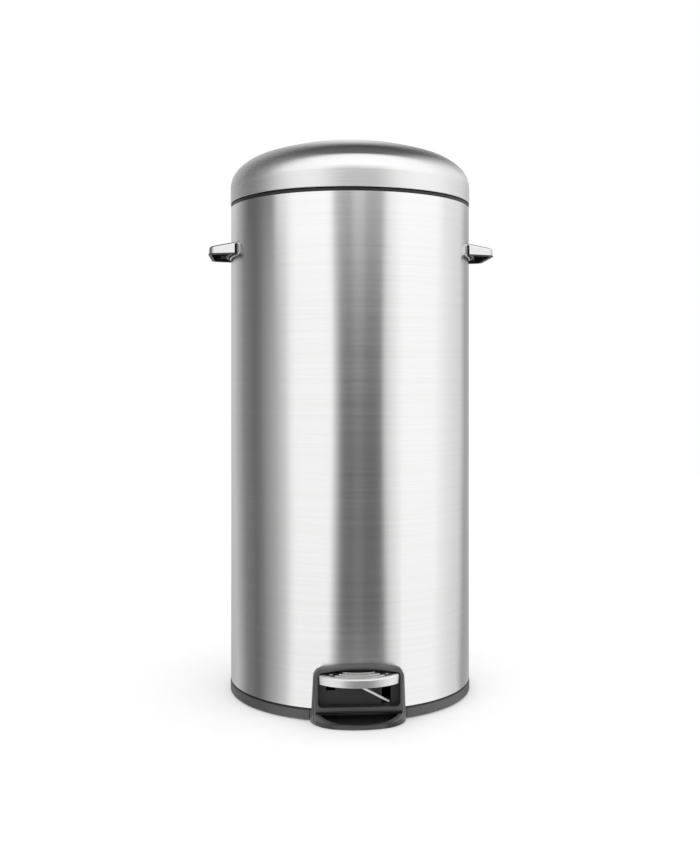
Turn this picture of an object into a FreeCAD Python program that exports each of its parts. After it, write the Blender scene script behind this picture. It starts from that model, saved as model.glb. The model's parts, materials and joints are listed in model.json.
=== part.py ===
import FreeCAD, Part
import math
import os

# Round pedal bin of about 30 litres: brushed steel body and domed lid, plastic base,
# lift-out inner bucket, and a pedal that opens the lid through a lever, a push rod and a crank.
# Millimetres. The origin is on the bin's axis, at the floor. +Z is up, the pedal is at -Y, +X is to
# the right of someone who faces the pedal.

V = FreeCAD.Vector
UP = V(0, 0, 1)
RIGHT = V(1, 0, 0)
BACK = V(0, 1, 0)

# ---- clearances -----------------------------------------------------------------------------
FIT = 0.1             # radial gap between two fixed pieces, one inside the other
GAP = 0.3             # gap between pieces that move against each other
SHAFT_FIT = 0.06      # radial running gap of a shaft in its hole

# ---- steel body -----------------------------------------------------------------------------
BODY_RADIUS = 146.5
BODY_WALL = 0.7
BODY_TOP = 588.0
HEM_WALL = 1.4        # folded edge of the sheet
HEM_HEIGHT = 3.0
HEM_ROUND = 0.6

# ---- base -----------------------------------------------------------------------------------
BASE_OVERHANG = 0.5   # base outside the steel
BASE_HEIGHT = 12.5
BASE_WALL = 4.0
BASE_ROUND = 1.2
BASE_LIFT = 0.6       # underside of the plastic above the floor
SHADOW_GROOVE = 1.2   # recess between the base and the steel
SPIGOT_HEIGHT = 6.0
PAN_BOTTOM = 3.0
PAN_WALL = 2.5
FLOOR_RING_WIDTH = 7.0

# ---- lid ------------------------------------------------------------------------------------
SEAM = 4.3            # from the body's top edge to the lid's lower edge
LID_OVERHANG = 0.5    # lid outside the steel
LID_WALL = 0.8
LID_SIDE = 19.6       # upright part of the lid
SHOULDER_RADIUS = 30.0
SHOULDER_TURN = 45.5  # degrees above the horizontal where the shoulder ends
BEND_RADIUS = 64.4
BEND_TURN = 70.8      # degrees above the horizontal where the crown starts
LINER_SKIRT = 4.6
LINER_WEB = 12.1      # width of the liner's flat web
LINER_WEB_WALL = 2.5
LINER_DEPTH = 10.7    # from the lid's lower edge to the web
LINER_SETBACK = 1.0   # liner's lower edge above the lid's
LID_OPEN = 80.0       # degrees
BUFFER_RADIUS = 2.0

# ---- ring in the seam -----------------------------------------------------------------------
RIM_FLANGE = 2.9      # thickness on top of the steel
RIM_WIDTH = 5.2
RIM_SLEEVE = 2.4
RIM_DEPTH = 12.0

# ---- hinge and crank ------------------------------------------------------------------------
HINGE_SETBACK = 1.5   # hinge pin behind the body's outer face
HINGE_RISE = 11.0     # hinge pin above the body's top edge
HINGE_PIN_RADIUS = 2.5
EAR_INSIDE = 22.3     # half of the space between the bracket's ears
EAR_WALL = 5.5
EAR_RADIUS = 7.0
BRACKET_HALF_WIDTH = 30.0
BRACKET_WALL = 3.0
BRACKET_HEIGHT = 34.0
BARREL_RADIUS = 6.2
ARM_PLATE_WALL = 2.8
ARM_PLATE_REACH = 20.0
CRANK_RADIUS = 22.0
CRANK_INSIDE = 4.0    # half of the space between the two cranks
CRANK_WALL = 3.0
CRANK_HALF_WIDTH = 4.5
CRANK_PIN_RADIUS = 2.5

# ---- push rod -------------------------------------------------------------------------------
ROD_RADIUS = 3.0
YOKE_WALL = 5.0
YOKE_RIM = 2.2
YOKE_RIM_HIGH = 3.0
FOOT_RADIUS = 5.5
FOOT_HEIGHT = 8.0
SOCKET_DEPTH = 14.0   # rod's socket under the yoke
GUIDE_DROP = 43.0     # upper guide below the steel's top edge
GUIDE_TAB = 16.0      # height of the guide's riveted tab below its shelf
GUIDE_WALL = 3.0
GUIDE_HALF_WIDTH = 14.0
CHANNEL_HALF_WIDTH = 17.0
CHANNEL_WALL = 1.2
CHANNEL_ABOVE = 3.0   # channel above the rod guide

# ---- pedal and lever ------------------------------------------------------------------------
PEDAL_REACH = 24.5    # front of the pedal before the steel
PEDAL_DROP = 17.0     # travel of the pedal's front
PEDAL_HALF_WIDTH = 44.9
PANEL_DEPTH = 0.5     # recess around the pedal's ribs
PANEL_MARGIN = 2.6    # from the first rib's middle to the recess's front edge
PANEL_TURN = 33.0     # degrees from the middle of the recess to its end
PEDAL_CURVE = 61.8    # radius of the curved front
PEDAL_TOP = 54.3      # top of the pedal at its front
PEDAL_SLOPE = 4.3     # degrees: the pedal's top falls towards its front
PEDAL_SKIRT = 9.6
PEDAL_WALL = 2.0
PEDAL_SIDE_WALL = 1.5
PEDAL_EDGE_ROUND = 2.4
PEDAL_DEPTH = 28.5
RIB_HEIGHT = 0.9
RIB_WIDTH = 2.8
RIB_ROUND = 0.5
RIB_PITCH = 7.0
FIRST_RIB = 6.2       # from the pedal's front to the rib nearest to it
FIRST_RIB_TURN = 28.0 # degrees from the middle of that rib to its end
RIB_TURN_STEP = 2.1   # degrees by which each rib further back is shorter
RIB_COUNT = 3
PIVOT_HEIGHT = 30.0
AXLE_RADIUS = 4.0
BUSH_WALL = 1.5
HUB_WALL = 2.5
HUB_HALF_LENGTH = 41.0
LEVER_ARM_X = 31.0    # middle of each front arm
LEVER_ARM_WIDTH = 8.0
LEVER_ARM_HEIGHT = 5.0
REAR_ARM_HEIGHT = 10.0
FORK_INSIDE = 4.0
FORK_WALL = 3.5
ROLLER_RADIUS = 6.0
ROLLER_HALF_WIDTH = 3.5
ROLLER_PIN_RADIUS = 2.0
REST_PAD_HALF = 10.0
REST_PAD_DEPTH = 16.0
POST_INSIDE = 44.0
POST_WALL = 8.0
POST_RADIUS = 9.0
SPRING_WIRE = 1.35    # radius of the return spring's wire
SPRING_TURNS = 5
SPRING_KNUCKLE = 1.45 # radius where each leg leaves the coil
SPRING_START = 1.5    # bare hub between the fork and the spring
SPRING_FOOT = 20.0    # length of the spring's lower leg
SPRING_RUN = 10.0     # straight run of the visible leg behind the pocket
SPRING_SPREAD = 1.53  # sideways run of the visible leg for each millimetre of its rise
SPRING_REACH = 0.74   # forward run of the visible leg for each millimetre of its rise

# ---- pedal surround -------------------------------------------------------------------------
TOE_REACH = 26.3      # front of the toe lip before the steel
TOE_HALF_WIDTH = 54.3
TOE_FRONT_CURVE = 95.0
TOE_CORNER = 38.0
TOE_WALL = 3.2
TOE_HEIGHT = 3.0      # height of the lip at its front
TOE_SLOPE = 25.0      # degrees: the lip rises towards the bin
TOE_FLOOR = 1.8
FRAME_REACH = 6.5     # front face of the frame before the steel
FRAME_TOP = 64.5
FRAME_TOP_HALF_WIDTH = 49.8
FRAME_FOOT_HALF_WIDTH = 52.8
FRAME_ARCH = 5.4
FRAME_CORNER = 10.5
FRAME_EDGE_ROUND = 2.0
FRAME_SKIN = 3.0      # thickness of the frame's front
STEP_DEPTH = 1.2      # shallow step in the frame above the opening
STEP_HEIGHT = 1.6
OPENING_HALF_WIDTH = 45.6
OPENING_BOTTOM = 19.2
OPENING_TOP = 59.9
OPENING_ARCH = 3.2
OPENING_CORNER = 5.0
OPENING_TOP_CORNER = 5.0
SILL_BEVEL = 2.4      # on the lower front edge of the bar below the opening
SILL_BOTTOM = 12.9    # underside of the bar below the opening
MOUTH_HALF_WIDTH = 47.5
MOUTH_CORNER = 4.0
POCKET_WALL = 1.6
POCKET_DEPTH = 7.5    # back of the pocket behind the steel's outside
BACK_PLATE_WALL = 2.0
SLOT_HALF_WIDTH = 5.0
TONGUE_INSET = 8.0    # the tongue under the base pan, from the side of the toe lip
TONGUE_LENGTH = 14.0  # and how far it reaches back
LEFT_SLOT_BOTTOM = 34.8
RIGHT_SLOT_BOTTOM = 19.6
SLOT_TOP = 55.0

# ---- bucket ---------------------------------------------------------------------------------
DECK_BOTTOM = 62.0    # underside of the deck that covers the lever
DECK_WALL = 3.0
DECK_POST_RADIUS = 7.0
DECK_POST_INSET = 18.5 # post ring inside the steel's outside
DECK_POST_ANGLES = (20, 60, 120, 160, 215, 325)
BUCKET_CLEARANCE = 10.0 # bucket inside the steel's outside
BUCKET_WALL = 1.8
BUCKET_FLOOR = 2.2
BUCKET_DROP = 7.5     # bucket's rim below the steel's top edge
BUCKET_RIM = 3.0
BUCKET_RIM_HEIGHT = 3.5
ROD_SPACE = 30.5      # from the steel's outside to the bucket's flat back
BUCKET_BOTTOM_ROUND = 6.0
BAIL_DROP = 14.5      # bail's pivot below the bucket's rim
BAIL_INSET = 8.5      # bail inside the bucket's outside
BAIL_WIRE = 2.0
GRIP_RADIUS = 4.5
GRIP_HALF_ANGLE = 14.0
LEDGE_HALF = 14.0     # half width of the bucket's ledge under the grip
LEDGE_WALL = 4.0

# ---- side handles ---------------------------------------------------------------------------
HANDLE_DROP = 60.4    # handle's lower edge below the steel's top edge
HANDLE_ROOT_HEIGHT = 12.8
HANDLE_TIP_HEIGHT = 9.6
HANDLE_STANDOFF = 25.0 # handle's tip outside the steel
HANDLE_ROOT_HALF = 49.0
HANDLE_TIP_HALF = 42.0
HANDLE_TIP_ROUND = 11.0
HANDLE_WALL = 1.6
HANDLE_EDGE_ROUND = 3.2
HANDLE_LIP = 0.7
HANDLE_LIP_HEIGHT = 1.2
INSERT_WALL = 1.2
HANDLE_PLATE_WALL = 1.2
HANDLE_PLATE_HALF = 58.0
HANDLE_PLATE_MARGIN = 1.6
GASKET_WALL = 1.2
BACKING_HALF = 38.0
BACKING_WALL = 1.5
HANDLE_BOSS_DEPTH = 9.0
HANDLE_HEAD_RADIUS = 4.2
HANDLE_HEAD = 2.2
HANDLE_SCREW_Y = 27.0
HANDLE_SCREW_RADIUS = 2.4

# ---- small fasteners ------------------------------------------------------------------------
SCREW_RADIUS = 1.8
SCREW_HEAD_RADIUS = 3.6
SCREW_HEAD = 2.0
LID_SCREW_X = 14.0
RIVET_RADIUS = 2.2
RIVET_HEAD_RADIUS = 4.0
RIVET_HEAD = 1.4
HINGE_RIVET_X = 18.0
HINGE_RIVET_PITCH = 10.0

# ---- places worked out from the sizes above -------------------------------------------------
BODY_INSIDE = BODY_RADIUS - BODY_WALL
BASE_RADIUS = BODY_RADIUS + BASE_OVERHANG
LID_RADIUS = BODY_RADIUS + LID_OVERHANG
PEDAL_FRONT = BODY_RADIUS + PEDAL_REACH
TOE_FRONT = BODY_RADIUS + TOE_REACH
FRAME_FRONT = BODY_RADIUS + FRAME_REACH
POCKET_BACK = BODY_RADIUS - POCKET_DEPTH
DECK_POST_RING = BODY_RADIUS - DECK_POST_INSET
BUCKET_RADIUS = BODY_RADIUS - BUCKET_CLEARANCE
BUCKET_FLAT = BODY_RADIUS - ROD_SPACE
BUCKET_TOP = BODY_TOP - BUCKET_DROP
BAIL_HEIGHT = BUCKET_TOP - BAIL_DROP
BAIL_RADIUS = BUCKET_RADIUS - BAIL_INSET
HANDLE_BOTTOM = BODY_TOP - HANDLE_DROP
HANDLE_REACH = BODY_RADIUS + HANDLE_STANDOFF
GUIDE_HEIGHT = BODY_TOP - GUIDE_DROP
HEM_INSIDE = BODY_RADIUS - HEM_WALL
BODY_BOTTOM = BASE_HEIGHT + SHADOW_GROOVE
PAN_TOP = PAN_BOTTOM + PAN_WALL
DECK_TOP = DECK_BOTTOM + DECK_WALL
LID_BOTTOM = BODY_TOP + SEAM
RIM_TOP = BODY_TOP + RIM_FLANGE
WEB_BOTTOM = LID_BOTTOM + LINER_DEPTH
LINER_RADIUS = LID_RADIUS - LID_WALL - FIT
HINGE_Y = BODY_RADIUS + HINGE_SETBACK
HINGE_Z = BODY_TOP + HINGE_RISE
CRANK_START = LID_OPEN / 2
CRANK_PIN_Y = HINGE_Y - CRANK_RADIUS * math.cos(math.radians(CRANK_START))
CRANK_PIN_Z = HINGE_Z - CRANK_RADIUS * math.sin(math.radians(CRANK_START))
CRANK_SWEEP = CRANK_RADIUS - (HINGE_Y - CRANK_PIN_Y)
ROD_TRAVEL = 2 * CRANK_RADIUS * math.sin(math.radians(CRANK_START))
ROD_Y = CRANK_PIN_Y - CRANK_SWEEP / 2
REACH = ROD_Y + PEDAL_FRONT
PEDAL_PRESS = 2 * math.degrees(math.asin((ROD_TRAVEL + PEDAL_DROP) / (2 * REACH)))
REAR_ARM = ROD_TRAVEL / (2 * math.sin(math.radians(PEDAL_PRESS / 2)))
PIVOT_Y = ROD_Y - REAR_ARM * math.cos(math.radians(PEDAL_PRESS / 2))
ROLLER_Z = PIVOT_HEIGHT - ROD_TRAVEL / 2
FOOT_BOTTOM = ROLLER_Z + ROLLER_RADIUS + GAP
HUB_BORE = AXLE_RADIUS + SHAFT_FIT + BUSH_WALL
HUB_RADIUS = HUB_BORE + HUB_WALL
PLATE_INSIDE = BODY_RADIUS + FIT
GASKET_INSIDE = PLATE_INSIDE + HANDLE_PLATE_WALL + GAP
HOOD_INSIDE = GASKET_INSIDE + GASKET_WALL + GAP
PEDAL_BACK = PEDAL_FRONT - PEDAL_DEPTH
BUCKET_BOTTOM = DECK_TOP + GAP
CHANNEL_TOP = GUIDE_HEIGHT + GUIDE_WALL + CHANNEL_ABOVE
TALL = BODY_TOP + LID_RADIUS


def box(x0, x1, y0, y1, z0, z1):
    return Part.makeBox(x1 - x0, y1 - y0, z1 - z0, V(x0, y0, z0))


def drum(radius, z0, z1, x=0.0, y=0.0):
    return Part.makeCylinder(radius, z1 - z0, V(x, y, z0), UP)


def bar_x(radius, x0, x1, y, z):
    return Part.makeCylinder(radius, x1 - x0, V(x0, y, z), RIGHT)


def bar_y(radius, y0, y1, x, z):
    return Part.makeCylinder(radius, y1 - y0, V(x, y0, z), BACK)


def ring(outer, inner, z0, z1):
    return drum(outer, z0, z1).cut(drum(inner, z0 - 1, z1 + 1))


def turned(corners):
    """Solid turned about the bin's axis from a closed outline of (radius, height, corner bevel)."""
    count = len(corners)
    points = [V(radius, 0, height) for radius, height, bevel in corners]
    outline = []
    for number, (radius, height, bevel) in enumerate(corners):
        point = points[number]
        if bevel > 0:
            outline.append(point + points[number - 1].sub(point).normalize() * bevel)
            outline.append(point + points[(number + 1) % count].sub(point).normalize() * bevel)
        else:
            outline.append(point)
    return Part.Face(Part.makePolygon(outline + [outline[0]])).revolve(V(0, 0, 0), UP, 360)


def on_circle(radius, degrees):
    return radius * math.cos(math.radians(degrees)), radius * math.sin(math.radians(degrees))


def join(shapes):
    """One solid from shapes that overlap or share faces."""
    whole = shapes[0].multiFuse(shapes[1:]) if len(shapes) > 1 else shapes[0]
    return whole.removeSplitter()


def group(shapes):
    """Separate solids kept in one node."""
    return Part.makeCompound(shapes)


def prism(edges, run):
    return Part.Face(Part.Wire(edges)).extrude(run)


def polygon_prism(points, run):
    return Part.Face(Part.makePolygon(points + [points[0]])).extrude(run)


def arc(start, middle, end):
    return Part.Arc(start, middle, end).toShape()


def line(start, end):
    return Part.LineSegment(start, end).toShape()


def round_edges(solid, radius, wanted):
    """Fillet the edges for which wanted(edge) is true."""
    return solid.makeFillet(radius, [edge for edge in solid.Edges if wanted(edge)])


def is_upright(edge):
    return len(edge.Vertexes) == 2 and abs(edge.tangentAt(edge.FirstParameter).z) > 0.99


def lies_at_height(edge, height):
    box_of_edge = edge.BoundBox
    return abs(box_of_edge.ZMin - height) < 0.01 and abs(box_of_edge.ZMax - height) < 0.01


def swept_wire(points, radius):
    """Round wire along straight runs, with a ball at each corner."""
    pieces = []
    for start, end in zip(points, points[1:]):
        run = end.sub(start)
        pieces.append(Part.makeCylinder(radius, run.Length, start, run))
        pieces.append(Part.makeSphere(radius, end))
    return join(pieces)


# ---- steel body and base --------------------------------------------------------------------
def make_body_shell():
    shell = turned([
        (BODY_RADIUS, BODY_BOTTOM, HEM_ROUND), (BODY_RADIUS, BODY_TOP, HEM_ROUND),
        (HEM_INSIDE, BODY_TOP, 0),
        (HEM_INSIDE, BODY_TOP - HEM_HEIGHT, 0), (BODY_INSIDE, BODY_TOP - HEM_HEIGHT, 0),
        (BODY_INSIDE, BODY_BOTTOM + HEM_HEIGHT, 0), (HEM_INSIDE, BODY_BOTTOM + HEM_HEIGHT, 0),
        (HEM_INSIDE, BODY_BOTTOM, 0),
    ])
    margin = POCKET_WALL + GAP
    half = OPENING_HALF_WIDTH + margin
    window = rounded_opening(margin, BODY_RADIUS + 1, 0)
    below = box(-half, half, -BODY_RADIUS - 1, 0, 0, (OPENING_BOTTOM + OPENING_TOP) / 2)
    shell = shell.cut(group([window, below]))
    holes = [bar_y(RIVET_RADIUS, 0, TALL, x, z) for x, z in hinge_rivet_places()]
    holes.append(bar_y(RIVET_RADIUS, 0, TALL, 0, guide_rivet_height()))
    for y in (-HANDLE_SCREW_Y, HANDLE_SCREW_Y):
        holes.append(bar_x(HANDLE_SCREW_RADIUS + FIT, -TALL, TALL, y, handle_screw_height()))
    return shell.cut(group(holes))


def surround_room(bottom, top):
    """Space at the front of the base that the pedal surround takes up."""
    half = TOE_HALF_WIDTH + FIT
    return box(-half, half, -TALL, -surround_back(), bottom, top)


def surround_back():
    return math.sqrt((BODY_RADIUS - BASE_WALL) ** 2 - TOE_HALF_WIDTH ** 2) - BASE_WALL


def base_screw_places():
    y = -surround_back() + 2 * SCREW_HEAD_RADIUS
    return [(-LEVER_ARM_X, y), (LEVER_ARM_X, y)]


def make_base_pan():
    inside = BASE_RADIUS - BASE_WALL
    step = HEM_INSIDE + HEM_WALL / 3
    spigot = HEM_INSIDE - FIT
    pan = turned([
        (0, PAN_BOTTOM, 0), (inside, PAN_BOTTOM, 0), (inside, BASE_LIFT, 0),
        (BASE_RADIUS, BASE_LIFT, BASE_ROUND),
        (BASE_RADIUS, BASE_HEIGHT, BASE_ROUND), (step, BASE_HEIGHT, 0), (step, BODY_BOTTOM, 0),
        (spigot, BODY_BOTTOM, 0), (spigot, BODY_BOTTOM + SPIGOT_HEIGHT, 0),
        (inside - 1, BODY_BOTTOM + SPIGOT_HEIGHT, 0), (inside - 1, PAN_TOP, 0), (0, PAN_TOP, 0),
    ])
    pan = pan.cut(surround_room(0, BODY_BOTTOM + SPIGOT_HEIGHT + 1))
    posts = []
    for angle in DECK_POST_ANGLES:
        x, y = on_circle(DECK_POST_RING, angle)
        posts.append(drum(DECK_POST_RADIUS, PAN_BOTTOM, DECK_BOTTOM, x, y))
    for side in (-1, 1):
        near, far = sorted((side * POST_INSIDE, side * (POST_INSIDE + POST_WALL)))
        posts.append(box(near, far, PIVOT_Y - POST_RADIUS, PIVOT_Y + POST_RADIUS, PAN_BOTTOM, PIVOT_HEIGHT))
        posts.append(bar_x(POST_RADIUS, near, far, PIVOT_Y, PIVOT_HEIGHT))
    for x, y in base_screw_places():
        posts.append(drum(2.5 * SCREW_RADIUS, PAN_BOTTOM, BASE_HEIGHT, x, y))
    pan = join([pan] + posts)
    bores = [bar_x(AXLE_RADIUS + SHAFT_FIT, -POST_INSIDE - 2 * POST_WALL, POST_INSIDE + 2 * POST_WALL,
                   PIVOT_Y, PIVOT_HEIGHT)]
    for angle in DECK_POST_ANGLES:
        x, y = on_circle(DECK_POST_RING, angle)
        bores.append(drum(SCREW_RADIUS, DECK_BOTTOM - deck_screw_length(), DECK_BOTTOM + 1, x, y))
    for x, y in base_screw_places():
        bores.append(drum(SCREW_RADIUS, 0, BASE_HEIGHT - 1, x, y))
    return pan.cut(group(bores))


def make_floor_ring():
    outer = BASE_RADIUS - BASE_WALL - FIT
    strip = ring(outer, outer - FLOOR_RING_WIDTH, 0, PAN_BOTTOM)
    half = TOE_HALF_WIDTH + GAP
    return strip.cut(box(-half, half, -TALL, 0, -1, PAN_BOTTOM + 1))


def deck_screw_length():
    return 4 * DECK_WALL


def make_deck():
    deck = drum(BODY_INSIDE - FIT, DECK_BOTTOM, DECK_TOP)
    holes = [drum(bush_radius(), 0, TALL, 0, ROD_Y)]
    for angle in DECK_POST_ANGLES:
        x, y = on_circle(DECK_POST_RING, angle)
        holes.append(drum(SCREW_RADIUS + FIT, 0, TALL, x, y))
        holes.append(drum(SCREW_HEAD_RADIUS + FIT, DECK_TOP - SCREW_HEAD, TALL, x, y))
    return deck.cut(group(holes))


def make_deck_screws():
    screws = []
    for angle in DECK_POST_ANGLES:
        x, y = on_circle(DECK_POST_RING, angle)
        head = drum(SCREW_HEAD_RADIUS, DECK_TOP - SCREW_HEAD, DECK_TOP, x, y)
        shank = drum(SCREW_RADIUS, DECK_BOTTOM - deck_screw_length(), DECK_TOP, x, y)
        screws.append(join([head, shank]))
    return group(screws)


def make_base_screws():
    screws = []
    for x, y in base_screw_places():
        head = drum(SCREW_HEAD_RADIUS, BASE_LIFT, BASE_LIFT + SCREW_HEAD / 2, x, y)
        screws.append(join([head, drum(SCREW_RADIUS, BASE_LIFT, BASE_HEIGHT - 1, x, y)]))
    return group(screws)


# ---- seam ring ------------------------------------------------------------------------------
def make_rim_ring():
    flange = ring(BODY_RADIUS - FIT, BODY_RADIUS - FIT - RIM_WIDTH, BODY_TOP, RIM_TOP)
    sleeve = ring(HEM_INSIDE - FIT, HEM_INSIDE - FIT - RIM_SLEEVE, BODY_TOP - RIM_DEPTH, BODY_TOP + 1)
    half = CRANK_INSIDE + CRANK_WALL + 10 * GAP
    notch = box(-half, half, 0, TALL, BODY_TOP - HEM_HEIGHT - 1, TALL)
    return join([flange, sleeve]).cut(notch)


# ---- lid ------------------------------------------------------------------------------------
def lid_curve(inset, start_height):
    """Edges of the lid's half section, from its upright side to the axis, in the XZ plane."""
    shoulder = V(LID_RADIUS - SHOULDER_RADIUS, 0, LID_BOTTOM + LID_SIDE)
    turn = V(*on_circle(1, SHOULDER_TURN)[:1], 0, on_circle(1, SHOULDER_TURN)[1])
    bend = shoulder - turn * (BEND_RADIUS - SHOULDER_RADIUS)
    crown_radius = BEND_RADIUS + bend.x / math.cos(math.radians(BEND_TURN))
    crown = V(0, 0, bend.z - (crown_radius - BEND_RADIUS) * math.sin(math.radians(BEND_TURN)))

    def at(centre, radius, degrees):
        x, z = on_circle(radius - inset, degrees)
        return V(centre.x + x, 0, centre.z + z)

    corner = at(shoulder, SHOULDER_RADIUS, 0)
    middle_turn = (SHOULDER_TURN + BEND_TURN) / 2
    return [
        line(V(corner.x, 0, start_height), corner),
        arc(corner, at(shoulder, SHOULDER_RADIUS, SHOULDER_TURN / 2),
            at(shoulder, SHOULDER_RADIUS, SHOULDER_TURN)),
        arc(at(shoulder, SHOULDER_RADIUS, SHOULDER_TURN), at(bend, BEND_RADIUS, middle_turn),
            at(bend, BEND_RADIUS, BEND_TURN)),
        arc(at(bend, BEND_RADIUS, BEND_TURN), at(crown, crown_radius, (BEND_TURN + 90) / 2),
            at(crown, crown_radius, 90)),
    ]


def hinge_notch():
    """Opening at the back of the lid for the hinge's ears and barrel."""
    half = BRACKET_HALF_WIDTH + 2
    return box(-half, half, BODY_RADIUS / 2, TALL, LID_BOTTOM - 1, HINGE_Z + EAR_RADIUS + 2)


def make_lid_shell():
    hem_top = LID_BOTTOM + HEM_HEIGHT
    outer = lid_curve(0, LID_BOTTOM + HEM_ROUND)
    inner = lid_curve(LID_WALL, hem_top)
    foot = V(LID_RADIUS - HEM_ROUND, 0, LID_BOTTOM)
    hem_foot = V(LID_RADIUS - HEM_WALL, 0, LID_BOTTOM)
    hem_corner = V(LID_RADIUS - HEM_WALL, 0, hem_top)
    side = V(LID_RADIUS, 0, LID_BOTTOM + HEM_ROUND)
    top = outer[-1].Vertexes[-1].Point
    hem = [
        line(side, foot),
        line(foot, hem_foot),
        line(hem_foot, hem_corner),
        line(hem_corner, V(LID_RADIUS - LID_WALL, 0, hem_top)),
    ]
    axis = line(top, V(0, 0, top.z - LID_WALL))
    wall = Part.Face(Part.Wire(Part.__sortEdges__(outer + hem + inner + [axis])))
    return wall.revolve(V(0, 0, 0), UP, 360).cut(hinge_notch())


def lid_screw_places():
    y = HINGE_Y - BARREL_RADIUS - SCREW_HEAD_RADIUS - GAP
    return [(-LID_SCREW_X, y), (LID_SCREW_X, y)]


def buffer_places():
    radius = LID_RADIUS - HEM_WALL - FIT - LINER_SKIRT / 2
    return [on_circle(radius, angle) for angle in (200, 250, 290, 340)]


def make_lid_liner():
    low = LID_BOTTOM + LINER_SETBACK
    hem_top = LID_BOTTOM + HEM_HEIGHT + FIT
    skirt_radius = LID_RADIUS - HEM_WALL - FIT
    skirt = ring(skirt_radius, skirt_radius - LINER_SKIRT, low, WEB_BOTTOM)
    web = ring(LINER_RADIUS, LINER_RADIUS - LINER_WEB, WEB_BOTTOM, WEB_BOTTOM + LINER_WEB_WALL)
    bead = ring(LINER_RADIUS, skirt_radius - LINER_SKIRT, hem_top, WEB_BOTTOM)
    liner = join([skirt, web, bead])
    half = BRACKET_HALF_WIDTH + 2
    liner = liner.cut(box(-half, half, 0, TALL, 0, WEB_BOTTOM))
    liner = liner.cut(box(-half, half, HINGE_Y - EAR_RADIUS - 1, TALL, 0, HINGE_Z + EAR_RADIUS + 1))
    bosses = [drum(2 * SCREW_RADIUS, WEB_BOTTOM, WEB_BOTTOM + 3 * LINER_WEB_WALL, x, y)
              for x, y in lid_screw_places()]
    holes = [drum(SCREW_RADIUS, 0, WEB_BOTTOM + 3 * LINER_WEB_WALL - 1, x, y)
             for x, y in lid_screw_places()]
    return join([liner] + bosses).cut(group(holes))


def make_lid_buffers():
    low = RIM_TOP + GAP
    return group([drum(BUFFER_RADIUS, low, LID_BOTTOM + LINER_SETBACK, x, y) for x, y in buffer_places()])


def make_lid_hinge_arm():
    half = EAR_INSIDE - GAP
    barrel = bar_x(BARREL_RADIUS, -half, half, HINGE_Y, HINGE_Z)
    plate = box(-half, half, HINGE_Y - ARM_PLATE_REACH, HINGE_Y, WEB_BOTTOM - ARM_PLATE_WALL, WEB_BOTTOM)
    pieces = [barrel, plate]
    direction = V(0, CRANK_PIN_Y - HINGE_Y, CRANK_PIN_Z - HINGE_Z)
    across = V(0, -direction.z, direction.y) * (CRANK_HALF_WIDTH / CRANK_RADIUS)
    for side in (-1, 1):
        near, far = sorted((side * CRANK_INSIDE, side * (CRANK_INSIDE + CRANK_WALL)))
        start = V(near, HINGE_Y, HINGE_Z)
        corners = [start + across, start + direction + across, start + direction - across, start - across]
        pieces.append(polygon_prism(corners, V(far - near, 0, 0)))
        pieces.append(bar_x(CRANK_HALF_WIDTH, near, far, CRANK_PIN_Y, CRANK_PIN_Z))
    arm = join(pieces)
    holes = [bar_x(HINGE_PIN_RADIUS + SHAFT_FIT, -half - 1, half + 1, HINGE_Y, HINGE_Z),
             bar_x(CRANK_PIN_RADIUS, -half, half, CRANK_PIN_Y, CRANK_PIN_Z)]
    holes += [drum(SCREW_RADIUS + FIT, 0, TALL, x, y) for x, y in lid_screw_places()]
    return arm.cut(group(holes))


def make_crank_pin():
    half = CRANK_INSIDE + CRANK_WALL
    return bar_x(CRANK_PIN_RADIUS, -half, half, CRANK_PIN_Y, CRANK_PIN_Z)


def make_lid_screws():
    low = WEB_BOTTOM - ARM_PLATE_WALL
    screws = []
    for x, y in lid_screw_places():
        head = drum(SCREW_HEAD_RADIUS, low - SCREW_HEAD, low, x, y)
        shank = drum(SCREW_RADIUS, low - SCREW_HEAD, WEB_BOTTOM + 3 * LINER_WEB_WALL - 1, x, y)
        screws.append(join([head, shank]))
    return group(screws)


# ---- hinge on the body ----------------------------------------------------------------------
def hinge_rivet_places():
    low = BODY_TOP - BRACKET_HEIGHT + 2 * RIVET_HEAD_RADIUS
    return [(x, low + rise) for x in (-HINGE_RIVET_X, HINGE_RIVET_X) for rise in (0, HINGE_RIVET_PITCH)]


def back_pad(inner, wall, half, low, high):
    """Strip of a tube's wall at the back of the bin."""
    return ring(inner + wall, inner, low, high).common(box(-half, half, 0, TALL, low, high))


def make_hinge_bracket():
    low = BODY_TOP - BRACKET_HEIGHT
    pieces = [back_pad(PLATE_INSIDE, BRACKET_WALL, BRACKET_HALF_WIDTH, low, BODY_TOP)]
    for side in (-1, 1):
        near, far = sorted((side * EAR_INSIDE, side * (EAR_INSIDE + EAR_WALL)))
        pieces.append(bar_x(EAR_RADIUS, near, far, HINGE_Y, HINGE_Z))
        pieces.append(box(near, far, HINGE_Y - HINGE_SETBACK / 2, HINGE_Y + EAR_RADIUS,
                          BODY_TOP - EAR_RADIUS, HINGE_Z))
        pieces.append(box(near, far, math.sqrt(BODY_RADIUS ** 2 - EAR_INSIDE ** 2) + 1,
                          HINGE_Y + EAR_RADIUS, low + EAR_RADIUS, BODY_TOP - 1))
    bracket = join(pieces).cut(drum(PLATE_INSIDE, 0, BODY_TOP + FIT))
    holes = [bar_x(HINGE_PIN_RADIUS + FIT / 2, -TALL, TALL, HINGE_Y, HINGE_Z)]
    holes += [bar_y(RIVET_RADIUS, 0, TALL, x, z) for x, z in hinge_rivet_places()]
    return bracket.cut(group(holes))


def make_hinge_backplate():
    low = BODY_TOP - BRACKET_HEIGHT
    plate = back_pad(BODY_INSIDE - FIT - BACKING_WALL, BACKING_WALL, BRACKET_HALF_WIDTH - 4, low,
                     BODY_TOP - RIM_DEPTH - GAP)
    return plate.cut(group([bar_y(RIVET_RADIUS, 0, TALL, x, z) for x, z in hinge_rivet_places()]))


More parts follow.
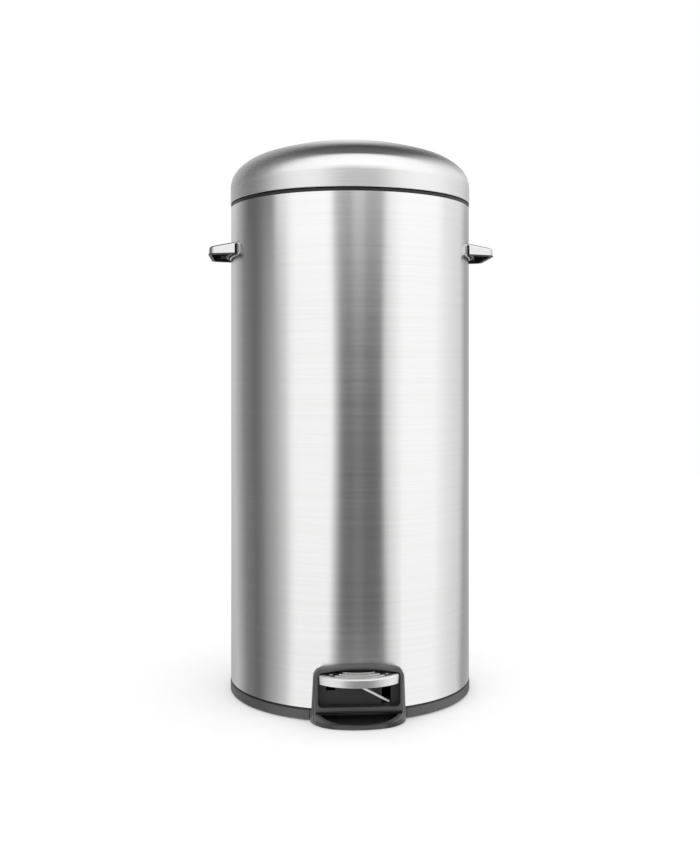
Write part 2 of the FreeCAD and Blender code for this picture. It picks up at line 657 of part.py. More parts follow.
def make_hinge_rivets():
    rivets = []
    for x, z in hinge_rivet_places():
        outer = math.sqrt((PLATE_INSIDE + BRACKET_WALL) ** 2 - x ** 2)
        inner = math.sqrt((BODY_INSIDE - FIT - BACKING_WALL) ** 2 - x ** 2) - 0.2
        shank = bar_y(RIVET_RADIUS, inner - 0.5, outer + 0.5, x, z)
        head = bar_y(RIVET_HEAD_RADIUS, outer + 0.5, outer + 0.5 + RIVET_HEAD, x, z)
        tail = bar_y(RIVET_HEAD_RADIUS - 1, inner - 0.5 - RIVET_HEAD, inner - 0.5, x, z)
        rivets.append(join([shank, head, tail]))
    return group(rivets)


def make_hinge_pin():
    outside = EAR_INSIDE + EAR_WALL
    pin = bar_x(HINGE_PIN_RADIUS, -outside - GAP, outside + 2, HINGE_Y, HINGE_Z)
    head = bar_x(HINGE_PIN_RADIUS + 1.6, -outside - GAP - 1.6, -outside - GAP, HINGE_Y, HINGE_Z)
    return join([pin, head])


def clip_ring(radius, x0, x1, y, z):
    """Spring clip: a flat ring that grips a shaft."""
    return bar_x(radius + 2.2, x0, x1, y, z).cut(bar_x(radius, x0 - 1, x1 + 1, y, z))


def make_hinge_clip():
    outside = EAR_INSIDE + EAR_WALL
    return clip_ring(HINGE_PIN_RADIUS, outside + GAP, outside + GAP + 0.9, HINGE_Y, HINGE_Z)


# ---- push rod -------------------------------------------------------------------------------
def yoke_box():
    """Lower and upper corners of the yoke's slot, in Y and Z."""
    slack = CRANK_PIN_RADIUS + GAP
    lift = CRANK_RADIUS * 0.021 + CRANK_PIN_RADIUS + GAP
    return (CRANK_PIN_Y - CRANK_SWEEP - slack, CRANK_PIN_Y + slack, CRANK_PIN_Z - lift, CRANK_PIN_Z + lift)


def make_push_rod():
    return drum(ROD_RADIUS, FOOT_BOTTOM + 2, yoke_box()[2] - YOKE_RIM_HIGH - FIT, 0, ROD_Y)


def make_rod_foot():
    foot = drum(FOOT_RADIUS, FOOT_BOTTOM, FOOT_BOTTOM + FOOT_HEIGHT, 0, ROD_Y)
    foot = round_edges(foot, 1.0, lambda edge: lies_at_height(edge, FOOT_BOTTOM + FOOT_HEIGHT))
    return foot.cut(drum(ROD_RADIUS, FOOT_BOTTOM + 2, TALL, 0, ROD_Y))


def make_rod_head():
    y0, y1, z0, z1 = yoke_box()
    half = YOKE_WALL / 2
    plate = box(-half, half, y0 - YOKE_RIM, y1 + YOKE_RIM, z0 - YOKE_RIM_HIGH, z1 + YOKE_RIM_HIGH)
    plate = round_edges(plate, YOKE_RIM, lambda edge: edge.BoundBox.XLength > YOKE_WALL - 0.1)
    base = z0 - YOKE_RIM_HIGH
    socket = drum(ROD_RADIUS + 1.3, base - SOCKET_DEPTH, base + 0.5, 0, ROD_Y)
    bore = drum(ROD_RADIUS + 0.02, base - SOCKET_DEPTH - 1, base - FIT, 0, ROD_Y)
    slot = box(-half - 1, half + 1, y0, y1, z0, z1)
    return join([plate, socket]).cut(slot).cut(bore)


def bush_radius():
    return 2 * ROD_RADIUS + 1


def make_rod_bush():
    tube = drum(bush_radius() - FIT, DECK_BOTTOM - 1.5, DECK_TOP + 1.5, 0, ROD_Y)
    flange = drum(bush_radius() + 2, DECK_TOP, DECK_TOP + 1.5, 0, ROD_Y)
    return join([tube, flange]).cut(drum(ROD_RADIUS + SHAFT_FIT, 0, TALL, 0, ROD_Y))


def guide_rivet_height():
    return GUIDE_HEIGHT - GUIDE_TAB / 2


def make_rod_guide():
    inside = BODY_INSIDE - FIT
    shelf = box(-GUIDE_HALF_WIDTH, GUIDE_HALF_WIDTH, ROD_Y - ROD_RADIUS - 2, inside, GUIDE_HEIGHT,
                GUIDE_HEIGHT + GUIDE_WALL)
    shelf = shelf.common(drum(inside, GUIDE_HEIGHT, GUIDE_HEIGHT + GUIDE_WALL))
    tab = back_pad(inside - GUIDE_WALL, GUIDE_WALL, GUIDE_HALF_WIDTH, GUIDE_HEIGHT - GUIDE_TAB,
                   GUIDE_HEIGHT + GUIDE_WALL)
    hole = drum(ROD_RADIUS + SHAFT_FIT, 0, TALL, 0, ROD_Y)
    return join([shelf, tab]).cut(hole).cut(bar_y(RIVET_RADIUS, 0, TALL, 0, guide_rivet_height()))


def make_guide_rivet():
    z = guide_rivet_height()
    inner = BODY_INSIDE - FIT - GUIDE_WALL
    shank = bar_y(RIVET_RADIUS, inner - 0.5, BODY_RADIUS + 0.2, 0, z)
    head = bar_y(RIVET_HEAD_RADIUS, BODY_RADIUS + 0.2, BODY_RADIUS + 0.2 + RIVET_HEAD, 0, z)
    tail = bar_y(RIVET_HEAD_RADIUS - 1, inner - 0.5 - RIVET_HEAD, inner - 0.5, 0, z)
    return join([shank, head, tail])


def channel_front():
    return BUCKET_FLAT + 2


def make_rod_channel():
    back = math.sqrt((BODY_INSIDE - GAP) ** 2 - CHANNEL_HALF_WIDTH ** 2)
    half = CHANNEL_HALF_WIDTH
    outer = box(-half, half, channel_front(), back, DECK_TOP, CHANNEL_TOP)
    inner = box(-half + CHANNEL_WALL, half - CHANNEL_WALL, channel_front() + CHANNEL_WALL, TALL,
                DECK_TOP - 1, CHANNEL_TOP + 1)
    return outer.cut(inner)


# ---- pedal and lever ------------------------------------------------------------------------
def pedal_outline(inset, back, low, high):
    """D shape seen from above: a straight back, short sides and a curved front."""
    half = PEDAL_HALF_WIDTH - inset
    centre = -PEDAL_FRONT + PEDAL_CURVE
    radius = PEDAL_CURVE - inset
    side = centre - math.sqrt(radius ** 2 - half ** 2)
    edges = [
        line(V(-half, back, low), V(-half, side, low)),
        arc(V(-half, side, low), V(0, centre - radius, low), V(half, side, low)),
        line(V(half, side, low), V(half, back, low)),
        line(V(half, back, low), V(-half, back, low)),
    ]
    return prism(edges, V(0, 0, high - low))


def sloped(piece):
    """Turns a piece of the pedal about the top of its front, so that its top falls forward."""
    piece.rotate(V(0, -PEDAL_FRONT, PEDAL_TOP), RIGHT, PEDAL_SLOPE)
    return piece


def pedal_underside(y):
    """Height of the underside of the pedal's top plate."""
    slope = math.radians(PEDAL_SLOPE)
    return PEDAL_TOP - PEDAL_WALL / math.cos(slope) + (y + PEDAL_FRONT) * math.tan(slope)


def pedal_band(radius, half, turn, low, height):
    """Bar with round ends that follows the curve of the pedal's front."""
    def at(reach, degrees):
        x, y = on_circle(reach, degrees)
        return V(x, y - PEDAL_FRONT + PEDAL_CURVE, low)

    left, right = 270 - turn, 270 + turn
    cap = math.degrees(half / radius)
    edges = [
        arc(at(radius + half, left), at(radius + half, 270), at(radius + half, right)),
        arc(at(radius + half, right), at(radius, right + cap), at(radius - half, right)),
        arc(at(radius - half, right), at(radius - half, 270), at(radius - half, left)),
        arc(at(radius - half, left), at(radius, left - cap), at(radius + half, left)),
    ]
    return prism(edges, V(0, 0, height))


def pedal_rib(number):
    radius = PEDAL_CURVE - FIRST_RIB - number * RIB_PITCH
    turn = FIRST_RIB_TURN - number * RIB_TURN_STEP
    foot = PEDAL_TOP - PANEL_DEPTH - RIB_HEIGHT
    rib = pedal_band(radius, RIB_WIDTH / 2, turn, foot, PEDAL_TOP + RIB_HEIGHT - foot)
    return round_edges(rib, RIB_ROUND, lambda edge: lies_at_height(edge, PEDAL_TOP + RIB_HEIGHT))


def pedal_panel():
    """The shallow recess around the ribs. It runs out through the pedal's back edge."""
    outer = PEDAL_CURVE - FIRST_RIB + PANEL_MARGIN
    inner = outer - 2 * PEDAL_DEPTH
    return pedal_band((outer + inner) / 2, (outer - inner) / 2, PANEL_TURN, PEDAL_TOP - PANEL_DEPTH, 1)


def make_pedal_plate():
    bottom = PEDAL_TOP - PEDAL_SKIRT
    low = bottom - PEDAL_SKIRT
    solid = pedal_outline(0, -PEDAL_BACK, low, PEDAL_TOP)
    solid = round_edges(solid, PEDAL_EDGE_ROUND, lambda edge: lies_at_height(edge, PEDAL_TOP)
                        and edge.BoundBox.YMin < -PEDAL_BACK - 1)
    hollow = pedal_outline(PEDAL_SIDE_WALL, -PEDAL_BACK + 1, low - 1, PEDAL_TOP - PEDAL_WALL)
    ribs = [pedal_rib(number) for number in range(RIB_COUNT)]
    rivets = [drum(RIVET_RADIUS, low, TALL, x, y) for x, y in pedal_rivet_places()]
    plate = sloped(join([solid.cut(group([hollow, pedal_panel()]))] + ribs).cut(group(rivets)))
    return plate.cut(box(-TALL, TALL, -TALL, 0, -TALL, bottom))


def lever_tip():
    """Front end of the lever's arms, just behind the inside of the pedal's curved skirt."""
    inside = PEDAL_CURVE - PEDAL_SIDE_WALL
    corner = LEVER_ARM_X + LEVER_ARM_WIDTH / 2
    return -PEDAL_FRONT + PEDAL_CURVE - math.sqrt(inside ** 2 - corner ** 2) + 4 * GAP


def pedal_rivet_places():
    return [(x, (lever_tip() - PEDAL_BACK) / 2) for x in (-LEVER_ARM_X, LEVER_ARM_X)]


def make_pedal_rivets():
    rivets = []
    for x, y in pedal_rivet_places():
        low = PEDAL_TOP - PEDAL_WALL - LEVER_ARM_HEIGHT
        head = drum(RIVET_HEAD_RADIUS - 1, low - RIVET_HEAD, low, x, y)
        rivets.append(sloped(join([head, drum(RIVET_RADIUS, low - RIVET_HEAD, PEDAL_TOP, x, y)])))
    return group(rivets)


def make_pedal_lever():
    bend = -POCKET_BACK
    pieces = [bar_x(HUB_RADIUS, -HUB_HALF_LENGTH, HUB_HALF_LENGTH, PIVOT_Y, PIVOT_HEIGHT)]
    for side in (-1, 1):
        near, far = sorted((side * (LEVER_ARM_X - LEVER_ARM_WIDTH / 2),
                            side * (LEVER_ARM_X + LEVER_ARM_WIDTH / 2)))
        tip = lever_tip()
        tip_top, bend_top = pedal_underside(tip), pedal_underside(bend)
        thick = LEVER_ARM_HEIGHT / math.cos(math.radians(PEDAL_SLOPE))
        profile = [V(near, tip, tip_top - thick), V(near, bend, bend_top - thick),
                   V(near, PIVOT_Y, PIVOT_HEIGHT - LEVER_ARM_HEIGHT / 2),
                   V(near, PIVOT_Y, PIVOT_HEIGHT + LEVER_ARM_HEIGHT / 2), V(near, bend, bend_top),
                   V(near, tip, tip_top)]
        pieces.append(polygon_prism(profile, V(far - near, 0, 0)))
        near, far = sorted((side * FORK_INSIDE, side * (FORK_INSIDE + FORK_WALL)))
        half = REAR_ARM_HEIGHT / 2
        profile = [V(near, PIVOT_Y, PIVOT_HEIGHT - half), V(near, ROD_Y, ROLLER_Z - half),
                   V(near, ROD_Y, ROLLER_Z + half), V(near, PIVOT_Y, PIVOT_HEIGHT + half)]
        pieces.append(polygon_prism(profile, V(far - near, 0, 0)))
        pieces.append(bar_x(half, near, far, ROD_Y, ROLLER_Z))
    lever = join(pieces)
    holes = [bar_x(HUB_BORE, -HUB_HALF_LENGTH - 1, HUB_HALF_LENGTH + 1, PIVOT_Y, PIVOT_HEIGHT),
             bar_x(ROLLER_PIN_RADIUS, -2 * HUB_RADIUS, 2 * HUB_RADIUS, ROD_Y, ROLLER_Z)]
    holes += [sloped(drum(RIVET_RADIUS, 0, TALL, x, y)) for x, y in pedal_rivet_places()]
    return lever.cut(group(holes))


def make_lever_bushes():
    bushes = []
    for side in (-1, 1):
        near, far = sorted((side * (HUB_HALF_LENGTH - 12), side * HUB_HALF_LENGTH))
        flange = sorted((side * HUB_HALF_LENGTH, side * (POST_INSIDE - GAP)))
        sleeve = bar_x(HUB_BORE - FIT / 2, near, far, PIVOT_Y, PIVOT_HEIGHT)
        collar = bar_x(HUB_RADIUS, flange[0], flange[1], PIVOT_Y, PIVOT_HEIGHT)
        hole = bar_x(AXLE_RADIUS + SHAFT_FIT, -TALL, TALL, PIVOT_Y, PIVOT_HEIGHT)
        bushes.append(join([sleeve, collar]).cut(hole))
    return group(bushes)


def make_pedal_axle():
    half = POST_INSIDE + POST_WALL + 3
    return bar_x(AXLE_RADIUS, -half, half, PIVOT_Y, PIVOT_HEIGHT)


def make_axle_clips():
    outside = POST_INSIDE + POST_WALL + GAP
    right = clip_ring(AXLE_RADIUS, outside, outside + 1, PIVOT_Y, PIVOT_HEIGHT)
    left = clip_ring(AXLE_RADIUS, -outside - 1, -outside, PIVOT_Y, PIVOT_HEIGHT)
    return group([left, right])


def make_lever_roller():
    roller = bar_x(ROLLER_RADIUS, -ROLLER_HALF_WIDTH, ROLLER_HALF_WIDTH, ROD_Y, ROLLER_Z)
    return roller.cut(bar_x(ROLLER_PIN_RADIUS + SHAFT_FIT, -TALL, TALL, ROD_Y, ROLLER_Z))


def make_roller_pin():
    half = FORK_INSIDE + FORK_WALL
    return bar_x(ROLLER_PIN_RADIUS, -half, half, ROD_Y, ROLLER_Z)


def make_rest_pad():
    top = ROLLER_Z - ROLLER_RADIUS - GAP
    return box(-REST_PAD_HALF, REST_PAD_HALF, ROD_Y - REST_PAD_DEPTH / 2, ROD_Y + REST_PAD_DEPTH / 2,
               PAN_TOP, top)


def make_return_spring():
    """Coil on the lever's hub. One leg runs out of the right slot and up under the pedal."""
    radius = HUB_RADIUS + SPRING_WIRE + GAP
    pitch = 2 * SPRING_WIRE + GAP
    length = pitch * SPRING_TURNS
    start_x = FORK_INSIDE + FORK_WALL + SPRING_WIRE + SPRING_START
    helix = Part.makeHelix(pitch, length, radius, 0, True)
    profile = Part.Wire([Part.Circle(V(radius, 0, 0), BACK, SPRING_WIRE).toShape()])
    coil = Part.Wire(helix.Edges).makePipeShell([profile], True, True)
    # the coil starts under the hub, winds along +X and ends under the hub, heading forward
    coil.Placement = FreeCAD.Placement(V(start_x, PIVOT_Y, PIVOT_HEIGHT), FreeCAD.Rotation(BACK, 90))
    bottom = PIVOT_HEIGHT - radius
    slot_x = LEVER_ARM_X + 2 * SPRING_WIRE
    exit_z = RIGHT_SLOT_BOTTOM + SPRING_WIRE + 2 * GAP
    exit_y = -POCKET_BACK - BACK_PLATE_WALL / 2
    slope = math.tan(math.radians(PEDAL_SLOPE))
    rise = (pedal_underside(exit_y) - SPRING_WIRE - GAP - exit_z) / (1 + SPRING_REACH * slope)
    end = start_x + length
    points = [V(end, PIVOT_Y, bottom), V(end, -POCKET_BACK + SPRING_RUN, exit_z),
              V(slot_x, exit_y, exit_z),
              V(slot_x - SPRING_SPREAD * rise, exit_y - SPRING_REACH * rise, exit_z + rise)]
    leg = swept_wire(points, SPRING_WIRE)
    knuckles = [Part.makeSphere(SPRING_KNUCKLE, V(x, PIVOT_Y, bottom)) for x in (start_x, end)]
    foot_y = PIVOT_Y + SPRING_FOOT
    rest = V(start_x, foot_y, PAN_TOP + SPRING_WIRE + FIT)
    foot = swept_wire([V(start_x, PIVOT_Y, bottom), rest], SPRING_WIRE)
    return join([coil, leg, foot] + knuckles)


# ---- pedal surround -------------------------------------------------------------------------
def toe_outline(inset, back, low, high):
    """Rounded toe shape seen from above, from the line at back to the curved front."""
    half = TOE_HALF_WIDTH - inset
    front = TOE_FRONT - inset
    corner = TOE_CORNER - inset
    curve = TOE_FRONT_CURVE - inset
    centre = V(0, -front + curve, low)
    corner_x = half - corner
    corner_y = centre.y - math.sqrt((curve - corner) ** 2 - corner_x ** 2)
    lean = math.atan2(corner_x, centre.y - corner_y)

    def on_corner(side, angle):
        return V(side * (corner_x + corner * math.sin(angle)), corner_y - corner * math.cos(angle), low)

    right = on_corner(1, lean)
    left = on_corner(-1, lean)
    middle = (lean + math.pi / 2) / 2
    edges = [
        line(V(-half, back, low), V(-half, corner_y, low)),
        arc(V(-half, corner_y, low), on_corner(-1, middle), left),
        arc(left, V(0, -front, low), right),
        arc(right, on_corner(1, middle), V(half, corner_y, low)),
        line(V(half, corner_y, low), V(half, back, low)),
        line(V(half, back, low), V(-half, back, low)),
    ]
    return prism(edges, V(0, 0, high - low))


def frame_prism():
    """Front view of the frame: wider at the foot, an arched top, round upper corners and front edge."""
    bottom = BASE_LIFT
    side = FRAME_TOP - FRAME_ARCH
    y = -FRAME_FRONT
    edges = [
        line(V(-FRAME_FOOT_HALF_WIDTH, y, bottom), V(-FRAME_TOP_HALF_WIDTH, y, side)),
        arc(V(-FRAME_TOP_HALF_WIDTH, y, side), V(0, y, FRAME_TOP), V(FRAME_TOP_HALF_WIDTH, y, side)),
        line(V(FRAME_TOP_HALF_WIDTH, y, side), V(FRAME_FOOT_HALF_WIDTH, y, bottom)),
        line(V(FRAME_FOOT_HALF_WIDTH, y, bottom), V(-FRAME_FOOT_HALF_WIDTH, y, bottom)),
    ]
    depth = FRAME_FRONT - surround_back()
    block = prism(edges, V(0, depth, 0))
    block = round_edges(block, FRAME_CORNER, lambda edge: edge.BoundBox.YLength > depth - 0.1
                        and edge.BoundBox.ZMin > bottom + 1)
    return round_edges(block, FRAME_EDGE_ROUND, lambda edge: edge.BoundBox.YMax < y + 0.01
                       and edge.BoundBox.ZMax > bottom + 1)


def arched_prism(half, low, high, arch, front, back):
    """Upright rectangle with an arched top, from front to back. High is its height in the middle."""
    side = high - arch
    edges = [
        line(V(-half, -front, low), V(-half, -front, side)),
        arc(V(-half, -front, side), V(0, -front, high), V(half, -front, side)),
        line(V(half, -front, side), V(half, -front, low)),
        line(V(half, -front, low), V(-half, -front, low)),
    ]
    return prism(edges, V(0, front - back, 0))


def rounded_opening(grow, front, back):
    solid = arched_prism(OPENING_HALF_WIDTH + grow, OPENING_BOTTOM - grow, OPENING_TOP + grow, OPENING_ARCH,
                         front, back)
    middle = (OPENING_BOTTOM + OPENING_TOP) / 2
    solid = round_edges(solid, OPENING_CORNER + grow,
                        lambda edge: edge.BoundBox.YLength > front - back - 0.1
                        and edge.BoundBox.ZMax < middle)
    return round_edges(solid, OPENING_TOP_CORNER + grow,
                       lambda edge: edge.BoundBox.YLength > front - back - 0.1
                       and edge.BoundBox.ZMin > middle and abs(edge.BoundBox.XMin) > OPENING_HALF_WIDTH - 1)


def make_pedal_surround():
    frame = frame_prism().common(toe_outline(0, -surround_back(), BASE_LIFT, FRAME_TOP + 1))
    frame = frame.cut(drum(PLATE_INSIDE, BODY_BOTTOM - FIT, FRAME_TOP + 2))
    lip = toe_outline(0, -surround_back(), BASE_LIFT, BASE_HEIGHT)
    well = toe_outline(TOE_WALL, -surround_back(), BASE_LIFT + TOE_FLOOR, OPENING_BOTTOM + 1)
    well = well.common(box(-TALL, TALL, -TALL, -FRAME_FRONT + 1, 0, TALL))
    lip = lip.cut(drum(PLATE_INSIDE, BODY_BOTTOM - FIT, FRAME_TOP))
    lip = lip.cut(well)
    slope = math.tan(math.radians(TOE_SLOPE))
    rise = (TOE_FRONT - surround_back()) * slope
    above = [V(-TALL, -TOE_FRONT - 1, TOE_HEIGHT), V(-TALL, -TOE_FRONT, TOE_HEIGHT),
             V(-TALL, -surround_back(), TOE_HEIGHT + rise), V(-TALL, -surround_back(), TALL),
             V(-TALL, -TOE_FRONT - 1, TALL)]
    lip = lip.cut(polygon_prism(above, V(2 * TALL, 0, 0)))
    pocket = rounded_opening(POCKET_WALL, FRAME_FRONT - FRAME_SKIN, POCKET_BACK)
    tongue_half = TOE_HALF_WIDTH - TONGUE_INSET
    under = box(-tongue_half, tongue_half, -surround_back() - 1, -surround_back() + TONGUE_LENGTH,
                BASE_LIFT, PAN_BOTTOM - FIT)
    foot_room = box(-TOE_HALF_WIDTH + BASE_WALL, TOE_HALF_WIDTH - BASE_WALL, -FRAME_FRONT + FRAME_SKIN,
                    0, BASE_LIFT + TOE_FLOOR, OPENING_BOTTOM - POCKET_WALL)
    mouth = box(-MOUTH_HALF_WIDTH, MOUTH_HALF_WIDTH, -FRAME_FRONT - 1, 0,
                BASE_LIFT + TOE_FLOOR, SILL_BOTTOM)
    mouth = round_edges(mouth, MOUTH_CORNER, lambda edge: edge.BoundBox.YLength > 1
                        and edge.BoundBox.ZMin > SILL_BOTTOM - 1)
    x = -MOUTH_HALF_WIDTH
    bevel = polygon_prism([V(x, -FRAME_FRONT - 1, SILL_BOTTOM - 1),
                           V(x, -FRAME_FRONT - 1, SILL_BOTTOM + SILL_BEVEL + 1),
                           V(x, -FRAME_FRONT + SILL_BEVEL + 1, SILL_BOTTOM - 1)],
                          V(2 * MOUTH_HALF_WIDTH, 0, 0))
    step = arched_prism(OPENING_HALF_WIDTH - OPENING_TOP_CORNER, OPENING_BOTTOM + OPENING_CORNER,
                        OPENING_TOP + STEP_HEIGHT, STEP_HEIGHT + OPENING_ARCH, FRAME_FRONT + 1,
                        FRAME_FRONT - STEP_DEPTH)
    surround = join([frame, lip, pocket])
    surround = surround.cut(rounded_opening(0, TOE_FRONT + 1, POCKET_BACK + BACK_PLATE_WALL))
    surround = join([surround.cut(group([foot_room, mouth, bevel, step])), under])
    cuts = []
    for side, low in ((-1, LEFT_SLOT_BOTTOM), (1, RIGHT_SLOT_BOTTOM)):
        middle = side * LEVER_ARM_X
        cuts.append(box(middle - SLOT_HALF_WIDTH, middle + SLOT_HALF_WIDTH,
                        -POCKET_BACK - 2 * BACK_PLATE_WALL, -POCKET_BACK + 1, low, SLOT_TOP))
    for x, y in base_screw_places():
        cuts.append(drum(SCREW_RADIUS + FIT, 0, PAN_BOTTOM, x, y))
        cuts.append(drum(SCREW_HEAD_RADIUS + FIT, 0, BASE_LIFT + SCREW_HEAD / 2, x, y))
    return surround.cut(group(cuts))


# ---- bucket ---------------------------------------------------------------------------------
def bucket_solid(radius, flat, low, high):
    """Round drum with a flat back."""
    return drum(radius, low, high).common(box(-TALL, TALL, -TALL, flat, low, high))


def make_inner_bucket():
    outer = bucket_solid(BUCKET_RADIUS, BUCKET_FLAT, BUCKET_BOTTOM, BUCKET_TOP)
    outer = round_edges(outer, BUCKET_BOTTOM_ROUND, lambda edge: lies_at_height(edge, BUCKET_BOTTOM))
    rim = bucket_solid(BUCKET_RADIUS + BUCKET_RIM, BUCKET_FLAT, BUCKET_TOP - BUCKET_RIM_HEIGHT, BUCKET_TOP)
    hollow = bucket_solid(BUCKET_RADIUS - BUCKET_WALL, BUCKET_FLAT - BUCKET_WALL,
                          BUCKET_BOTTOM + BUCKET_FLOOR, BUCKET_TOP + 1)
    hollow = round_edges(hollow, BUCKET_BOTTOM_ROUND - BUCKET_WALL,
                         lambda edge: lies_at_height(edge, BUCKET_BOTTOM + BUCKET_FLOOR))
    ledge_top = BAIL_HEIGHT - GRIP_RADIUS - GAP
    ledge = box(-LEDGE_HALF, LEDGE_HALF, -BUCKET_RADIUS + BUCKET_WALL, -BAIL_RADIUS + GRIP_RADIUS,
                ledge_top - LEDGE_WALL, ledge_top)
    holes = bar_x(BAIL_WIRE + SHAFT_FIT, -TALL, TALL, 0, BAIL_HEIGHT)
    return join([join([outer, rim]).cut(hollow), ledge]).cut(holes)


def half_torus(tube, half_angle):
    """Part of a ring around the bucket's axis, centred on its front."""
    start = on_circle(BAIL_RADIUS, 270 - half_angle)
    tangent = V(-start[1], start[0], 0)
    circle = Part.Circle(V(start[0], start[1], BAIL_HEIGHT), tangent, tube).toShape()
    return Part.Face(Part.Wire([circle])).revolve(V(0, 0, 0), UP, 2 * half_angle)


def make_bucket_bail():
    pieces = [half_torus(BAIL_WIRE, 90)]
    for side in (-1, 1):
        near, far = sorted((side * BAIL_RADIUS, side * (BUCKET_RADIUS + BUCKET_RIM - 0.5)))
        pieces.append(bar_x(BAIL_WIRE, near, far, 0, BAIL_HEIGHT))
        pieces.append(Part.makeSphere(BAIL_WIRE, V(side * BAIL_RADIUS, 0, BAIL_HEIGHT)))
    return join(pieces)


def make_bail_grip():
    return half_torus(GRIP_RADIUS, GRIP_HALF_ANGLE).cut(half_torus(BAIL_WIRE, GRIP_HALF_ANGLE + 2))


# ---- side handles, made on the right and mirrored to the left ----------------------------------
def handle_screw_height():
    return HANDLE_BOTTOM + HANDLE_TIP_HEIGHT / 2 + 2


def side_pad(inner, wall, half, low, high, corner):
    """Strip of a tube's wall at the right side, with round corners."""
    strip = ring(inner + wall, inner, low, high)
    mask = box(0, TALL, -half, half, low, high)
    mask = round_edges(mask, corner, lambda edge: edge.BoundBox.XLength > TALL - 1)
    return strip.common(mask)


def handle_screw_end():
    return HOOD_INSIDE + HANDLE_BOSS_DEPTH


def handle_screw_holes(radius):
    """Holes from inside the body out to the blind ends in the handle's bosses."""
    return group([bar_x(radius, 0, handle_screw_end() + GAP, y, handle_screw_height())
                  for y in (-HANDLE_SCREW_Y, HANDLE_SCREW_Y)])


def make_handle_plate():
    margin = HANDLE_PLATE_MARGIN
    pad = side_pad(PLATE_INSIDE, HANDLE_PLATE_WALL, HANDLE_PLATE_HALF, HANDLE_BOTTOM - margin,
                   HANDLE_BOTTOM + HANDLE_ROOT_HEIGHT + margin, 4.0)
    return pad.cut(handle_screw_holes(HANDLE_SCREW_RADIUS + FIT))


def make_handle_gasket():
    pad = side_pad(GASKET_INSIDE, GASKET_WALL, HANDLE_ROOT_HALF + 1.5,
                   HANDLE_BOTTOM + 0.8, HANDLE_BOTTOM + HANDLE_ROOT_HEIGHT - 0.8, 2.0)
    return pad.cut(handle_screw_holes(HANDLE_SCREW_RADIUS + FIT))


def hood_solid(inset, low):
    """Hood seen from above: a wide root on the bin, a shorter round-cornered tip and a sloping top."""
    root_x = BODY_RADIUS * 0.9
    tip_x = HANDLE_REACH - inset
    slope = (HANDLE_ROOT_HEIGHT - HANDLE_TIP_HEIGHT) / (HANDLE_REACH - HOOD_INSIDE)
    top = HANDLE_BOTTOM + HANDLE_ROOT_HEIGHT - inset
    taper = (HANDLE_ROOT_HALF - HANDLE_TIP_HALF) / (HANDLE_REACH - HOOD_INSIDE)
    root_half = HANDLE_ROOT_HALF + taper * (HOOD_INSIDE - root_x) - inset
    tip_half = HANDLE_TIP_HALF - inset
    corners = [V(root_x, -root_half, low), V(tip_x, -tip_half, low), V(tip_x, tip_half, low),
               V(root_x, root_half, low)]
    block = polygon_prism(corners, V(0, 0, TALL))
    block = round_edges(block, HANDLE_TIP_ROUND - inset,
                        lambda edge: is_upright(edge) and edge.BoundBox.XMin > tip_x - 0.1)
    roof_root = top + slope * (HOOD_INSIDE - root_x)
    roof_tip = top - slope * (tip_x + 1 - HOOD_INSIDE)
    keep = [V(root_x, -TALL, low), V(tip_x + 1, -TALL, low), V(tip_x + 1, -TALL, roof_tip),
            V(root_x, -TALL, roof_root)]
    block = block.common(polygon_prism(keep, V(0, 2 * TALL, 0)))
    if inset < HANDLE_EDGE_ROUND:
        block = round_edges(block, HANDLE_EDGE_ROUND - inset, lambda edge: edge.BoundBox.ZMin > low + 1
                            and edge.BoundBox.XMax > root_x + 1)
    return block.cut(drum(HOOD_INSIDE + inset, 0, TALL))


def make_handle_hood():
    lower = box(0, TALL, -TALL, TALL, 0, HANDLE_BOTTOM + HANDLE_LIP_HEIGHT + FIT)
    hood = hood_solid(0, HANDLE_BOTTOM).cut(lower).cut(hood_solid(HANDLE_WALL, HANDLE_BOTTOM - 1))
    return hood.cut(handle_screw_holes(HANDLE_SCREW_RADIUS + FIT))


def make_handle_insert():
    """Liner of the hood, with a lip all round that covers the hood's lower edge."""
    outer = hood_solid(HANDLE_WALL + FIT, HANDLE_BOTTOM)
    strip = box(0, TALL, -TALL, TALL, HANDLE_BOTTOM, HANDLE_BOTTOM + HANDLE_LIP_HEIGHT)
    lip = hood_solid(-HANDLE_LIP, HANDLE_BOTTOM).common(strip).cut(drum(HOOD_INSIDE, 0, TALL))
    inner = hood_solid(HANDLE_WALL + FIT + INSERT_WALL, HANDLE_BOTTOM - 1)
    shell = join([outer, lip]).cut(inner)
    bosses = []
    for y in (-HANDLE_SCREW_Y, HANDLE_SCREW_Y):
        bosses.append(bar_x(HANDLE_SCREW_RADIUS + 1.6, HOOD_INSIDE - 4, handle_screw_end() + 2, y,
                            handle_screw_height()))
    bosses = group(bosses).common(outer)
    return join([shell] + bosses.Solids).cut(handle_screw_holes(HANDLE_SCREW_RADIUS))


def make_handle_backing():
    pad = side_pad(BODY_INSIDE - FIT - BACKING_WALL, BACKING_WALL, BACKING_HALF, HANDLE_BOTTOM,
                   HANDLE_BOTTOM + HANDLE_ROOT_HEIGHT, 2 * BACKING_WALL)
    return pad.cut(handle_screw_holes(HANDLE_SCREW_RADIUS + FIT))


def make_handle_screws():
    screws = []
    for y in (-HANDLE_SCREW_Y, HANDLE_SCREW_Y):
        seat = math.sqrt((BODY_INSIDE - FIT - BACKING_WALL) ** 2
                         - (HANDLE_SCREW_Y + HANDLE_HEAD_RADIUS) ** 2)
        head = bar_x(HANDLE_HEAD_RADIUS, seat - HANDLE_HEAD, seat, y, handle_screw_height())
        shank = bar_x(HANDLE_SCREW_RADIUS, seat - 1, handle_screw_end(), y, handle_screw_height())
        screws.append(join([head, shank]))
    return group(screws)


